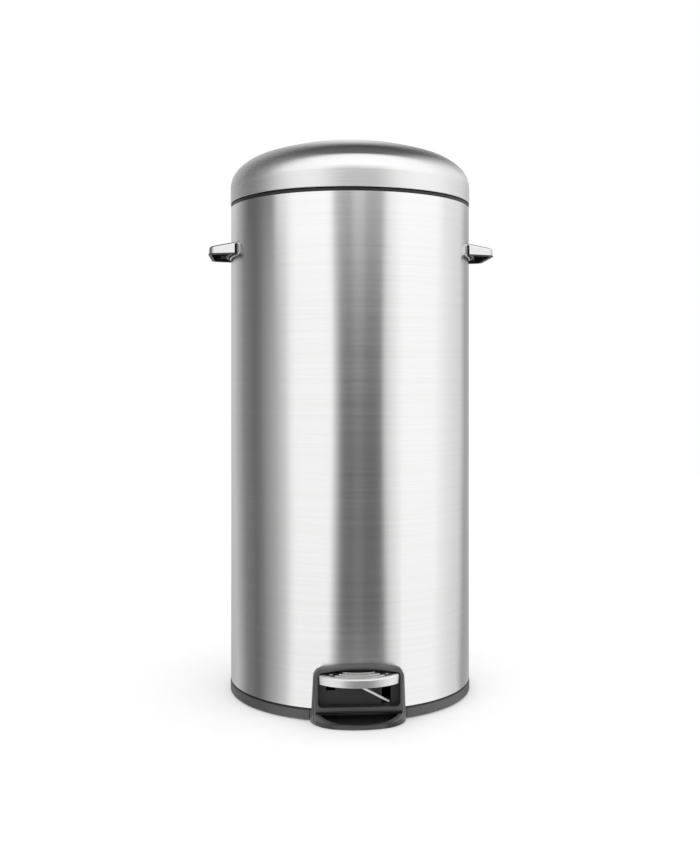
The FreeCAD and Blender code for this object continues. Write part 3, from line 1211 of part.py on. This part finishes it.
HANDLE_PIECES = {
    "handle_hood": make_handle_hood,
    "handle_insert": make_handle_insert,
    "handle_plate": make_handle_plate,
    "handle_gasket": make_handle_gasket,
    "handle_backing": make_handle_backing,
    "handle_screws": make_handle_screws,
}

PIECES = {
    "body_shell": make_body_shell,
    "base_pan": make_base_pan,
    "floor_ring": make_floor_ring,
    "deck": make_deck,
    "deck_screws": make_deck_screws,
    "base_screws": make_base_screws,
    "rim_ring": make_rim_ring,
    "pedal_surround": make_pedal_surround,
    "pedal_axle": make_pedal_axle,
    "axle_clips": make_axle_clips,
    "rest_pad": make_rest_pad,
    "rod_bush": make_rod_bush,
    "rod_guide": make_rod_guide,
    "guide_rivet": make_guide_rivet,
    "rod_channel": make_rod_channel,
    "hinge_bracket": make_hinge_bracket,
    "hinge_backplate": make_hinge_backplate,
    "hinge_rivets": make_hinge_rivets,
    "hinge_pin": make_hinge_pin,
    "hinge_clip": make_hinge_clip,
    "pedal_plate": make_pedal_plate,
    "pedal_rivets": make_pedal_rivets,
    "pedal_lever": make_pedal_lever,
    "lever_bushes": make_lever_bushes,
    "lever_roller": make_lever_roller,
    "roller_pin": make_roller_pin,
    "return_spring": make_return_spring,
    "push_rod": make_push_rod,
    "rod_foot": make_rod_foot,
    "rod_head": make_rod_head,
    "lid_shell": make_lid_shell,
    "lid_liner": make_lid_liner,
    "lid_buffers": make_lid_buffers,
    "lid_hinge_arm": make_lid_hinge_arm,
    "lid_screws": make_lid_screws,
    "crank_pin": make_crank_pin,
    "inner_bucket": make_inner_bucket,
    "bucket_bail": make_bucket_bail,
    "bail_grip": make_bail_grip,
}


def export(name, shape):
    shape.exportStep(os.path.join("parts", name + ".step"))


os.makedirs("parts", exist_ok=True)
for piece_name, make_piece in PIECES.items():
    export(piece_name, make_piece())
for piece_name, make_piece in HANDLE_PIECES.items():
    right_piece = make_piece()
    export("right_" + piece_name, right_piece)
    export("left_" + piece_name, right_piece.mirror(V(0, 0, 0), RIGHT))

print("lid hinge", HINGE_Y, HINGE_Z, "pedal pivot", PIVOT_Y, PIVOT_HEIGHT)
print("pedal angle", PEDAL_PRESS, "per lid degree", PEDAL_PRESS / LID_OPEN)
print("rod travel per lid radian", ROD_TRAVEL / math.radians(LID_OPEN), "rod travel", ROD_TRAVEL)
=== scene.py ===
import json
import math
import bmesh
import bpy
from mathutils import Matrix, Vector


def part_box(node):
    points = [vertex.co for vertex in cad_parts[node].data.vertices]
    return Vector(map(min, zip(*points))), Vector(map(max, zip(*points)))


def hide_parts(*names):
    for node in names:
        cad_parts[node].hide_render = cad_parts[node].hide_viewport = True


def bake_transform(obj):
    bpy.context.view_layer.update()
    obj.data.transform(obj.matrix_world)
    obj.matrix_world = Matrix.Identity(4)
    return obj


# Dressed model of a round pedal bin: finishes for every piece, a light tent, a floor and a camera.
# Metres. +Z is up, the pedal is at -Y, and the bin stands on the origin.

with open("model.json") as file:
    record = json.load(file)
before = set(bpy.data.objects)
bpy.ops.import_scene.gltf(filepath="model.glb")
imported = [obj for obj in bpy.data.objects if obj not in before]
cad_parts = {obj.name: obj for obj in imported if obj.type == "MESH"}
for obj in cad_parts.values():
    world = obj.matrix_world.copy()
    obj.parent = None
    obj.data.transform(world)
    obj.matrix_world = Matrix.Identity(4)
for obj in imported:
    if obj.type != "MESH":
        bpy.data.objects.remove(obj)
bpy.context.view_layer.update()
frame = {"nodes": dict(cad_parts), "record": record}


# ---- nodes and groups -----------------------------------------------------------------------
def fill(tree, node, inputs):
    """Sets each of a node's inputs to a number, or links it to an output."""
    for key, value in inputs.items():
        if isinstance(value, bpy.types.NodeSocket):
            tree.links.new(value, node.inputs[key])
        else:
            node.inputs[key].default_value = value


def add(tree, kind, inputs=None, **settings):
    """A new node with its settings, and with its inputs set or linked."""
    node = tree.nodes.new(kind)
    for name, value in settings.items():
        setattr(node, name, value)
    fill(tree, node, inputs or {})
    return node


def sums(tree, operation, first, second=0.0, third=0.0):
    """One step of arithmetic, as a node's output."""
    return add(tree, "ShaderNodeMath", {0: first, 1: second, 2: third}, operation=operation).outputs[0]


def ease(tree, value, start, end, low=0.0, high=1.0):
    """Turns a value between start and end smoothly into one between low and high."""
    inputs = {"Value": value, "From Min": start, "From Max": end, "To Min": low, "To Max": high}
    return add(tree, "ShaderNodeMapRange", inputs, interpolation_type="SMOOTHSTEP").outputs["Result"]


def noise(tree, place, scale, detail=2.0, roughness=0.5):
    inputs = {"Vector": place, "Scale": scale, "Detail": detail, "Roughness": roughness}
    return add(tree, "ShaderNodeTexNoise", inputs).outputs["Fac"]


def blend_colours(tree, share, first, second):
    """First colour where share is 0, second where it is 1."""
    node = add(tree, "ShaderNodeMix", {"Factor": share}, data_type="RGBA")
    # The node has a socket of each name for every type of data, so the colours are found by type.
    for label, value in (("A", first), ("B", second)):
        socket = [s for s in node.inputs if s.name == label and s.type == "RGBA"][0]
        if isinstance(value, bpy.types.NodeSocket):
            tree.links.new(value, socket)
        else:
            socket.default_value = (*value, 1.0)
    return [s for s in node.outputs if s.type == "RGBA"][0]


def new_group(name, inputs):
    """An empty shader group with a Place input, the inputs given, and the outputs Tone and Height."""
    tree = bpy.data.node_groups.new(name, "ShaderNodeTree")
    tree.interface.new_socket("Place", in_out="INPUT", socket_type="NodeSocketVector")
    for label, value in inputs.items():
        socket = tree.interface.new_socket(label, in_out="INPUT", socket_type="NodeSocketFloat")
        socket.default_value = value
    for label in ("Tone", "Height"):
        tree.interface.new_socket(label, in_out="OUTPUT", socket_type="NodeSocketFloat")
    return tree, tree.nodes.new("NodeGroupInput").outputs, tree.nodes.new("NodeGroupOutput").inputs


def turned_brushing():
    """Fine lines that run round the bin's axis, on its side and over its dome alike."""
    tree, given, result = new_group("turned brushing", {"Lines": 900.0, "Length": 9.0})
    axes = add(tree, "ShaderNodeSeparateXYZ", {0: given["Place"]}).outputs
    radius = sums(tree, "SQRT", sums(tree, "ADD", sums(tree, "MULTIPLY", axes[0], axes[0]),
                                     sums(tree, "MULTIPLY", axes[1], axes[1])))
    across = sums(tree, "MULTIPLY", sums(tree, "SUBTRACT", axes[2], radius), given["Lines"])
    round_x = sums(tree, "MULTIPLY", axes[0], given["Length"])
    round_y = sums(tree, "MULTIPLY", axes[1], given["Length"])
    place = add(tree, "ShaderNodeCombineXYZ", {0: round_x, 1: round_y, 2: across}).outputs[0]
    fine = noise(tree, place, 1.0, 3.0, 0.6)
    broad = noise(tree, place, 0.18, 2.0)
    tree.links.new(sums(tree, "ADD", sums(tree, "MULTIPLY", fine, 0.65),
                        sums(tree, "MULTIPLY", broad, 0.35)), result["Tone"])
    tree.links.new(fine, result["Height"])
    return tree


def straight_brushing():
    """Fine lines that run from left to right."""
    tree, given, result = new_group("straight brushing", {"Lines": 1400.0, "Length": 40.0})
    axes = add(tree, "ShaderNodeSeparateXYZ", {0: given["Place"]}).outputs
    along = sums(tree, "MULTIPLY", axes[0], given["Length"])
    across = [sums(tree, "MULTIPLY", axis, given["Lines"]) for axis in (axes[1], axes[2])]
    place = add(tree, "ShaderNodeCombineXYZ", {0: along, 1: across[0], 2: across[1]}).outputs[0]
    fine = noise(tree, place, 1.0, 2.0)
    tree.links.new(fine, result["Tone"])
    tree.links.new(fine, result["Height"])
    return tree


def moulded_grain():
    """The fine even grain of a spark-eroded mould, with a faint cloudiness."""
    tree, given, result = new_group("moulded grain", {"Grain": 2600.0, "Clouds": 14.0})
    cells = add(tree, "ShaderNodeTexVoronoi", {"Vector": given["Place"], "Scale": given["Grain"]},
                feature="SMOOTH_F1").outputs["Distance"]
    clouds = noise(tree, given["Place"], given["Clouds"], 4.0)
    tree.links.new(sums(tree, "ADD", sums(tree, "MULTIPLY", cells, 0.4),
                        sums(tree, "MULTIPLY", clouds, 0.6)), result["Tone"])
    tree.links.new(cells, result["Height"])
    return tree


def plated_crystals():
    """The soft speckle of zinc plating or of a tumbled casting."""
    tree, given, result = new_group("plated crystals", {"Grain": 900.0, "Clouds": 60.0})
    speckle = noise(tree, given["Place"], given["Grain"], 3.0)
    clouds = noise(tree, given["Place"], given["Clouds"], 3.0)
    tree.links.new(sums(tree, "ADD", sums(tree, "MULTIPLY", speckle, 0.4),
                        sums(tree, "MULTIPLY", clouds, 0.6)), result["Tone"])
    tree.links.new(speckle, result["Height"])
    return tree


def handling_marks():
    """Broad soft smudges, as Tone."""
    tree, given, result = new_group("handling marks", {"Spread": 9.0})
    smudge = noise(tree, given["Place"], given["Spread"], 5.0, 0.6)
    tree.links.new(ease(tree, smudge, 0.38, 0.68), result["Tone"])
    return tree


def box_of_painted_shade():
    """Share of painted shade, as Tone: Amount within a box given by its sides' ends, fading over Edge
    outside it.
    """
    ends = [side + " " + end for side in "XYZ" for end in ("from", "to")]
    sizes = {label: 0.0 for label in ends}
    tree, given, result = new_group("box of dirt", dict(sizes, Amount=0.5, Edge=0.002))
    axes = add(tree, "ShaderNodeSeparateXYZ", {0: given["Place"]}).outputs
    share = given["Amount"]
    for side in "XYZ":
        start, end = given[side + " from"], given[side + " to"]
        inside = sums(tree, "SUBTRACT", axes[side], start)
        left_over = sums(tree, "SUBTRACT", end, axes[side])
        for distance in (inside, left_over):
            faded = sums(tree, "DIVIDE", sums(tree, "ADD", distance, given["Edge"]), given["Edge"])
            share = sums(tree, "MULTIPLY", share, ease(tree, faded, 0.0, 1.0))
    tree.links.new(share, result["Tone"])
    return tree


TURNED = turned_brushing()
STRAIGHT = straight_brushing()
GRAIN = moulded_grain()
CRYSTALS = plated_crystals()
MARKS = handling_marks()
PAINTED_SHADE_GROUP = box_of_painted_shade()
# near-black colour painted into grooves and recesses as shade
PAINTED_SHADE_COLOUR = (0.004, 0.004, 0.004)


# ---- finishes -------------------------------------------------------------------------------
RELIEF_DEPTH = 0.00005


def finish(name, pattern, colours, roughnesses, relief, metallic=0.0, sizes=None, smudges=0.25,
           shader=None, painted_shade=()):
    """A material whose colour, roughness and relief come from a pattern group and handling marks.

    Colours are the darkest and the lightest, and roughnesses the smoothest and the roughest. Painted
    shade is a list of places darkened to stand in for shadow, each the amount, the soft edge's width and
    the place's box."""
    dark, light = colours
    smooth, rough = roughnesses
    material = bpy.data.materials.new(name)
    material.use_nodes = True
    tree = material.node_tree
    tree.nodes.clear()
    place = add(tree, "ShaderNodeTexCoord").outputs["Object"]
    drawn = add(tree, "ShaderNodeGroup", node_tree=pattern)
    tree.links.new(place, drawn.inputs["Place"])
    for label, value in (sizes or {}).items():
        drawn.inputs[label].default_value = value
    marks = add(tree, "ShaderNodeGroup", node_tree=MARKS)
    tree.links.new(place, marks.inputs["Place"])
    tone = ease(tree, drawn.outputs["Tone"], 0.3, 0.7)
    mixed = blend_colours(tree, tone, dark, light)
    # painted shade: each place's colour is blended towards near-black to stand in for shadow
    for amount, edge, box in painted_shade:
        wanted = {"Place": place, "Amount": amount, "Edge": edge}
        for side, (start, end) in zip("XYZ", box):
            wanted[side + " from"] = start
            wanted[side + " to"] = end
        shade_box = add(tree, "ShaderNodeGroup", node_tree=PAINTED_SHADE_GROUP)
        fill(tree, shade_box, wanted)
        mixed = blend_colours(tree, shade_box.outputs["Tone"], mixed, PAINTED_SHADE_COLOUR)
    patterned = sums(tree, "MULTIPLY", tone, 1 - smudges)
    spread = sums(tree, "MULTIPLY_ADD", marks.outputs["Tone"], smudges, patterned)
    roughness = ease(tree, spread, 0.0, 1.0, smooth, rough)
    bump = add(tree, "ShaderNodeBump", {
        "Strength": relief, "Distance": RELIEF_DEPTH, "Height": drawn.outputs["Height"]})
    surface = add(tree, "ShaderNodeBsdfPrincipled", {
        "Base Color": mixed, "Roughness": roughness, "Metallic": metallic, "Normal": bump.outputs[0]})
    for label, value in (shader or {}).items():
        surface.inputs[label].default_value = value
    add(tree, "ShaderNodeOutputMaterial", {"Surface": surface.outputs[0]})
    return material


LINES_ROUND = {"Anisotropic": 0.95, "Anisotropic Rotation": 0.25}
SOFT_ROUND = {"Anisotropic": 0.9, "Anisotropic Rotation": 0.0}
BODY_STEEL = ((0.70, 0.70, 0.695), (0.735, 0.735, 0.735))
LID_STEEL = ((0.68, 0.68, 0.675), (0.71, 0.71, 0.71))
PRESSED_STEEL = ((0.66, 0.66, 0.655), (0.72, 0.72, 0.715))
PLATING = ((0.62, 0.62, 0.62), (0.68, 0.68, 0.68))
ZINC = ((0.46, 0.465, 0.46), (0.62, 0.62, 0.6))
WHITE_COAT = ((0.95, 0.95, 0.95), (0.99, 0.99, 0.99))
DARK_GREY = ((0.072, 0.072, 0.074), (0.094, 0.095, 0.097))
BLACK = ((0.014, 0.014, 0.015), (0.022, 0.022, 0.023))
CHARCOAL = ((0.036, 0.036, 0.038), (0.052, 0.052, 0.055))
MILKY = ((0.68, 0.68, 0.67), (0.78, 0.78, 0.77))
RUBBER_BLACK = ((0.02, 0.02, 0.02), (0.034, 0.034, 0.034))
SATIN = (0.42, 0.56)                    # roughness of the grey mouldings

# Painted shade, standing in for the shadow in grooves and recesses: amount, width of the soft edge, and the
# ends of the place's sides
STEEL_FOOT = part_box("body_shell")[0][2]
SURROUND_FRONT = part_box("pedal_surround")[0][1]
FRAME_SETBACK = 0.0198                  # from the toe lip's front back to the frame's
FRAME_FRONT = SURROUND_FRONT + FRAME_SETBACK
BIN_AXIS = 0.0
ALL_OVER = (-1.0, 1.0)
# painted shadow line in the groove between the steel's foot and the base
FOOT_GROOVE_SHADE = (1.0, 0.0002, (ALL_OVER, ALL_OVER, (STEEL_FOOT - 0.0017, STEEL_FOOT + 0.001)))
# painted shade on the pocket's walls behind the pedal frame
POCKET_SHADE = (0.55, 0.001, ((-0.0462, 0.0462), (FRAME_FRONT + 0.001, BIN_AXIS), (0.0185, 0.0605)))
# painted shade on the toe well's floor under the pedal
WELL_SHADE = (0.7, 0.003, ((-0.047, 0.047), (SURROUND_FRONT + 0.006, BIN_AXIS), (0.001, 0.0045)))

FINISHES = {
    "brushed_steel": finish("brushed steel", TURNED, BODY_STEEL, (0.155, 0.19), 0.04, 1.0,
                            shader=LINES_ROUND),
    "lid_steel": finish("lid steel", TURNED, LID_STEEL, (0.24, 0.28), 0.04, 1.0, shader=SOFT_ROUND),
    "base_plastic": finish("grey base", GRAIN, DARK_GREY, SATIN, 0.35, painted_shade=[FOOT_GROOVE_SHADE]),
    "surround_plastic": finish("grey surround", GRAIN, DARK_GREY, SATIN, 0.35,
                               painted_shade=[POCKET_SHADE, WELL_SHADE]),
    "satin_steel": finish("satin steel", STRAIGHT, PRESSED_STEEL, (0.34, 0.42), 0.06, 1.0),
    "plated_metal": finish("satin plating", CRYSTALS, PLATING, (0.16, 0.24), 0.03, 1.0),
    "zinc_steel": finish("zinc plating", CRYSTALS, ZINC, (0.28, 0.45), 0.3, 1.0),
    "spring_wire": finish("white coated wire", CRYSTALS, WHITE_COAT, (0.3, 0.4), 0.1),
    "grey_plastic": finish("grey moulding", GRAIN, DARK_GREY, SATIN, 0.35),
    "black_plastic": finish("black moulding", GRAIN, BLACK, (0.34, 0.48), 0.3,
                            shader={"Specular IOR Level": 0.3}),
    "bucket_plastic": finish("charcoal moulding", GRAIN, CHARCOAL, (0.3, 0.42), 0.2,
                             sizes={"Grain": 1500.0}),
    "white_plastic": finish("acetal", GRAIN, MILKY, (0.3, 0.4), 0.1),
    "rubber": finish("rubber", GRAIN, RUBBER_BLACK, (0.62, 0.8), 0.4),
}

FINISH_OF = {piece["node"]: piece["material_slot"] for piece in frame["record"]["subparts"]}
FINISH_OF["lid_shell"] = "lid_steel"
FINISH_OF["base_pan"] = "base_plastic"
FINISH_OF["pedal_surround"] = "surround_plastic"
FINISH_OF["pedal_rivets"] = "satin_steel"
for node, slot in FINISH_OF.items():
    shown = frame["nodes"][node]
    shown.data.materials.clear()
    shown.data.materials.append(FINISHES[slot])


# ---- return spring --------------------------------------------------------------------------
WELD_REACH = 0.000001                   # how close loose corners have to be, to be joined


def bending_spring():
    """The return spring, its loose corners welded into one mesh that stands in for the imported part. In
    use its front leg bends: its slot in the base holds it, and the pedal its tip.
    """
    mesh = bmesh.new()
    mesh.from_mesh(frame["nodes"]["return_spring"].data)
    bmesh.ops.remove_doubles(mesh, verts=mesh.verts, dist=WELD_REACH)
    data = bpy.data.meshes.new("bending_spring")
    mesh.to_mesh(data)
    mesh.free()
    data.materials.append(FINISHES["spring_wire"])
    spring = bpy.data.objects.new("bending_spring", data)
    bpy.context.scene.collection.objects.link(spring)
    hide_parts("return_spring")
    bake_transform(spring)


bending_spring()


# ---- floor and light tent -------------------------------------------------------------------
TENT_RADIUS = 3.0
CAMERA_TURN = 3.8                       # degrees from the bin's front to the camera, to its left
WALL_LEVELS = [   # brightness of the tent's wall as metal shows it, by degrees to the right of the camera
    (-180, 0.52), (-143, 0.66), (-128, 0.45), (-117, 0.27), (-99, 0.18), (-92, 0.23), (-85, 0.35),
    (-73, 0.54), (-62, 0.81), (-57, 1.07), (-51, 1.23), (-16.5, 1.23), (-12.5, 0.73), (-7.5, 0.28),
    (-3.5, 0.18), (1.5, 0.17), (6.5, 0.205), (9.5, 0.205), (13.5, 0.16), (22.5, 0.16), (27.6, 0.25),
    (31.6, 0.77), (36.6, 0.95), (46, 1.19), (51, 1.27), (85, 1.27), (91, 1.19), (99, 1.09),
    (116, 0.93), (126, 0.87), (141, 0.44), (180, 0.52),
]
ROOF_LEVELS = [   # brightness of the tent's roof, by how far it lies behind the bin: -1 in front, 1 behind
    (-1.0, 1.5), (-0.04, 1.4), (0.05, 0.2), (0.12, 0.15), (0.3, 0.18), (0.42, 0.14),
    (0.54, 0.06), (0.6, 0.12), (0.68, 0.36), (0.78, 0.56), (0.9, 0.85), (1.0, 0.95),
]
ROOF_RIGHT = 1.1                        # least brightness of the roof at the far right
ROOF_SKEW = 0.15                        # how far the roof's bands come forward on the right
ROOF_TILT = math.radians(10)            # how far they lean back with height
ROOF_START, ROOF_FULL = 14.0, 30.0      # degrees above the floor where wall turns into roof
MOST_LEVEL = 2.0                        # brightest level that a list may hold
PANEL_LEFT, PANEL_RIGHT = -16.0, 32.0   # edges of the dark panel beside the camera, in degrees
PANEL_SOFTNESS = 6.0                    # degrees on either side of those edges
PANEL_START, PANEL_FULL = 9.0, 24.0     # degrees above the floor where the panel ends
PANEL_RISE = 9.0                        # degrees by which the roof starts higher over it
PANEL_TOP = 0.58                        # brightness above that panel
PANEL_MIDDLE = 0.3                      # and what its middle has on top of that
PANEL_CENTRE = (PANEL_LEFT + PANEL_RIGHT) / 2
FLOOR_LEVEL, FLOOR_HAZE = 0.75, 0.3     # plain brightness that the floor in front adds, and its share
FLOOR_LIFT = 0.16                       # what brings the floor up to white for the camera alone
LIGHT_LEVEL = 1.0                       # what matt surfaces receive from every side
BODY_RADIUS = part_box("body_shell")[1][0]


def stage_object(name, mesh, material):
    data = bpy.data.meshes.new(name)
    mesh.to_mesh(data)
    mesh.free()
    data.materials.append(material)
    thing = bpy.data.objects.new(name, data)
    bpy.context.scene.collection.objects.link(thing)
    return thing


def blank_material(name):
    material = bpy.data.materials.new(name)
    material.use_nodes = True
    material.node_tree.nodes.clear()
    return material, material.node_tree


def between(tree, share, first, second):
    """First where share is 0, second where it is 1."""
    rest = sums(tree, "SUBTRACT", 1.0, share)
    return sums(tree, "ADD", sums(tree, "MULTIPLY", first, rest), sums(tree, "MULTIPLY", second, share))


def levels(tree, share, stops_wanted, first, last):
    """Brightness from a list of (place, level), where share runs from first to last."""
    scale = 1 / (last - first)
    ramp = add(tree, "ShaderNodeValToRGB", {0: sums(tree, "MULTIPLY_ADD", share, scale, -first * scale)})
    stops = ramp.color_ramp.elements
    for place, level in stops_wanted:
        position = (place - first) * scale
        if place == first:
            stop = stops[0]
        elif place == last:
            stop = stops[len(stops) - 1]
        else:
            stop = stops.new(position)
        share_of_most = level / MOST_LEVEL
        stop.color = (share_of_most, share_of_most, share_of_most, 1.0)
    return sums(tree, "MULTIPLY", ramp.outputs[0], MOST_LEVEL)


def wall_level(tree, turn):
    """Brightness of the wall at a number of degrees to the right of the camera."""
    return levels(tree, turn, WALL_LEVELS, -180, 180)


def degrees_right(tree, axes):
    """Degrees to the right of the camera, seen from the bin's axis."""
    turn = sums(tree, "ARCTAN2", axes[0], sums(tree, "MULTIPLY", axes[1], -1.0))
    return sums(tree, "MULTIPLY_ADD", turn, 180 / math.pi, CAMERA_TURN)


def lit_cloth():
    material, tree = blank_material("lit cloth")
    place = add(tree, "ShaderNodeTexCoord").outputs["Object"]
    unit = add(tree, "ShaderNodeVectorMath", {0: place}, operation="NORMALIZE").outputs[0]
    axes = add(tree, "ShaderNodeSeparateXYZ", {0: unit}).outputs
    turn = degrees_right(tree, axes)
    rise = sums(tree, "MULTIPLY", sums(tree, "ARCSINE", axes[2]), 180 / math.pi)
    wall = wall_level(tree, turn)
    from_left = ease(tree, turn, PANEL_LEFT - PANEL_SOFTNESS, PANEL_LEFT + PANEL_SOFTNESS)
    to_right = ease(tree, turn, PANEL_RIGHT - PANEL_SOFTNESS, PANEL_RIGHT + PANEL_SOFTNESS, 1.0, 0.0)
    panel = sums(tree, "MULTIPLY", from_left, to_right)
    lift = sums(tree, "MULTIPLY", panel, ease(tree, rise, PANEL_START, PANEL_FULL))
    inward = sums(tree, "ABSOLUTE", sums(tree, "SUBTRACT", turn, PANEL_CENTRE))
    wall = between(tree, lift, wall, ease(tree, inward, 2.0, 10.0, PANEL_TOP + PANEL_MIDDLE, PANEL_TOP))
    behind = sums(tree, "MULTIPLY_ADD", axes[1], math.cos(ROOF_TILT),
                  sums(tree, "MULTIPLY", axes[2], math.sin(ROOF_TILT)))
    skewed = sums(tree, "MULTIPLY_ADD", axes[0], -ROOF_SKEW, behind)
    roof = levels(tree, skewed, ROOF_LEVELS, -1.0, 1.0)
    roof = sums(tree, "MAXIMUM", roof, ease(tree, axes[0], 0.2, 0.8, 0.0, ROOF_RIGHT))
    height = sums(tree, "MULTIPLY_ADD", panel, -PANEL_RISE, rise)
    level = between(tree, ease(tree, height, ROOF_START, ROOF_FULL), wall, roof)
    matt = add(tree, "ShaderNodeLightPath").outputs["Is Diffuse Ray"]
    glow = add(tree, "ShaderNodeEmission", {"Strength": between(tree, matt, level, LIGHT_LEVEL)})
    add(tree, "ShaderNodeOutputMaterial", {"Surface": glow.outputs[0]})
    material.cycles.emission_sampling = "NONE"
    return material


def light_tent():
    mesh = bmesh.new()
    bmesh.ops.create_uvsphere(mesh, u_segments=72, v_segments=36, radius=TENT_RADIUS)
    bmesh.ops.bisect_plane(mesh, geom=mesh.verts[:] + mesh.edges[:] + mesh.faces[:],
                           plane_co=(0, 0, -0.01), plane_no=(0, 0, 1), clear_inner=True)
    tent = stage_object("light_tent", mesh, lit_cloth())
    tent.visible_camera = False
    return tent


def pale_floor():
    """White floor. Metal shows the tent's wall in it, as in a polished floor."""
    material, tree = blank_material("pale floor")
    place = add(tree, "ShaderNodeTexCoord").outputs["Object"]
    axes = add(tree, "ShaderNodeSeparateXYZ", {0: place}).outputs
    reach = add(tree, "ShaderNodeVectorMath", {0: place}, operation="LENGTH").outputs["Value"]
    twice = sums(tree, "MULTIPLY", reach, 2.0)
    spread = sums(tree, "DIVIDE", twice, sums(tree, "SUBTRACT", twice, BODY_RADIUS))
    turn = sums(tree, "MULTIPLY_ADD", degrees_right(tree, axes), spread, -PANEL_CENTRE)
    wider = ease(tree, reach, 0.3, TENT_RADIUS, 0.87, 0.95)
    turn = sums(tree, "MULTIPLY", turn, ease(tree, sums(tree, "ABSOLUTE", turn), 25.0, 60.0, wider, 1.0))
    inside = ease(tree, sums(tree, "ABSOLUTE", turn), 18.0, 30.0, FLOOR_HAZE, 0.0)
    haze = sums(tree, "MULTIPLY", inside, ease(tree, reach, 0.25, 0.6, 1.0, 0.0))
    mirrored = wall_level(tree, sums(tree, "ADD", turn, PANEL_CENTRE))
    mirrored = sums(tree, "MULTIPLY", mirrored, ease(tree, reach, 0.3, 2.0, 0.95, 1.0))
    mirrored = between(tree, haze, mirrored, FLOOR_LEVEL)
    clouds = noise(tree, place, 30.0, 3.0)
    shade = ease(tree, clouds, 0.0, 1.0, 0.93, 0.97)
    colour = add(tree, "ShaderNodeCombineColor", {0: shade, 1: shade, 2: shade}).outputs[0]
    rays = add(tree, "ShaderNodeLightPath").outputs
    matt = add(tree, "ShaderNodeBsdfDiffuse", {"Color": colour})
    lift = sums(tree, "MULTIPLY", rays["Is Camera Ray"], FLOOR_LIFT)
    lifted = add(tree, "ShaderNodeEmission", {"Strength": lift})
    seen = add(tree, "ShaderNodeAddShader", {0: matt.outputs[0], 1: lifted.outputs[0]})
    shown = add(tree, "ShaderNodeEmission", {"Strength": mirrored})
    surface = add(tree, "ShaderNodeMixShader", {
        0: rays["Is Glossy Ray"], 1: seen.outputs[0], 2: shown.outputs[0]})
    add(tree, "ShaderNodeOutputMaterial", {"Surface": surface.outputs[0]})
    material.cycles.emission_sampling = "NONE"
    return material


def studio_floor():
    mesh = bmesh.new()
    bmesh.ops.create_circle(mesh, cap_ends=True, segments=96, radius=TENT_RADIUS * 1.01)
    return stage_object("floor", mesh, pale_floor())


light_tent()
studio_floor()

world = bpy.data.worlds.new("white surround")
bpy.context.scene.world = world
world.use_nodes = True
world.node_tree.nodes["Background"].inputs["Color"].default_value = (1.0, 1.0, 1.0, 1.0)
world.node_tree.nodes["Background"].inputs["Strength"].default_value = 1.0

# ---- camera ---------------------------------------------------------------------------------
CAMERA_DISTANCE = 1.328                 # from the bin's axis
CAMERA_HEIGHT = 0.3825
FOCAL_LENGTH = 45.1                     # in millimetres, for a sensor 36 mm wide
FRAME_SHIFT = -0.06

lens = bpy.data.cameras.new("camera")
camera = bpy.data.objects.new("camera", lens)
bpy.context.scene.collection.objects.link(camera)
turn = math.radians(CAMERA_TURN)
camera.location = (-CAMERA_DISTANCE * math.sin(turn), -CAMERA_DISTANCE * math.cos(turn), CAMERA_HEIGHT)
camera.rotation_euler = (math.radians(90), 0, -turn)
lens.sensor_width = 36.0
lens.lens = FOCAL_LENGTH
lens.shift_y = FRAME_SHIFT
bpy.context.scene.camera = camera
bpy.context.scene.view_settings.view_transform = "Standard"
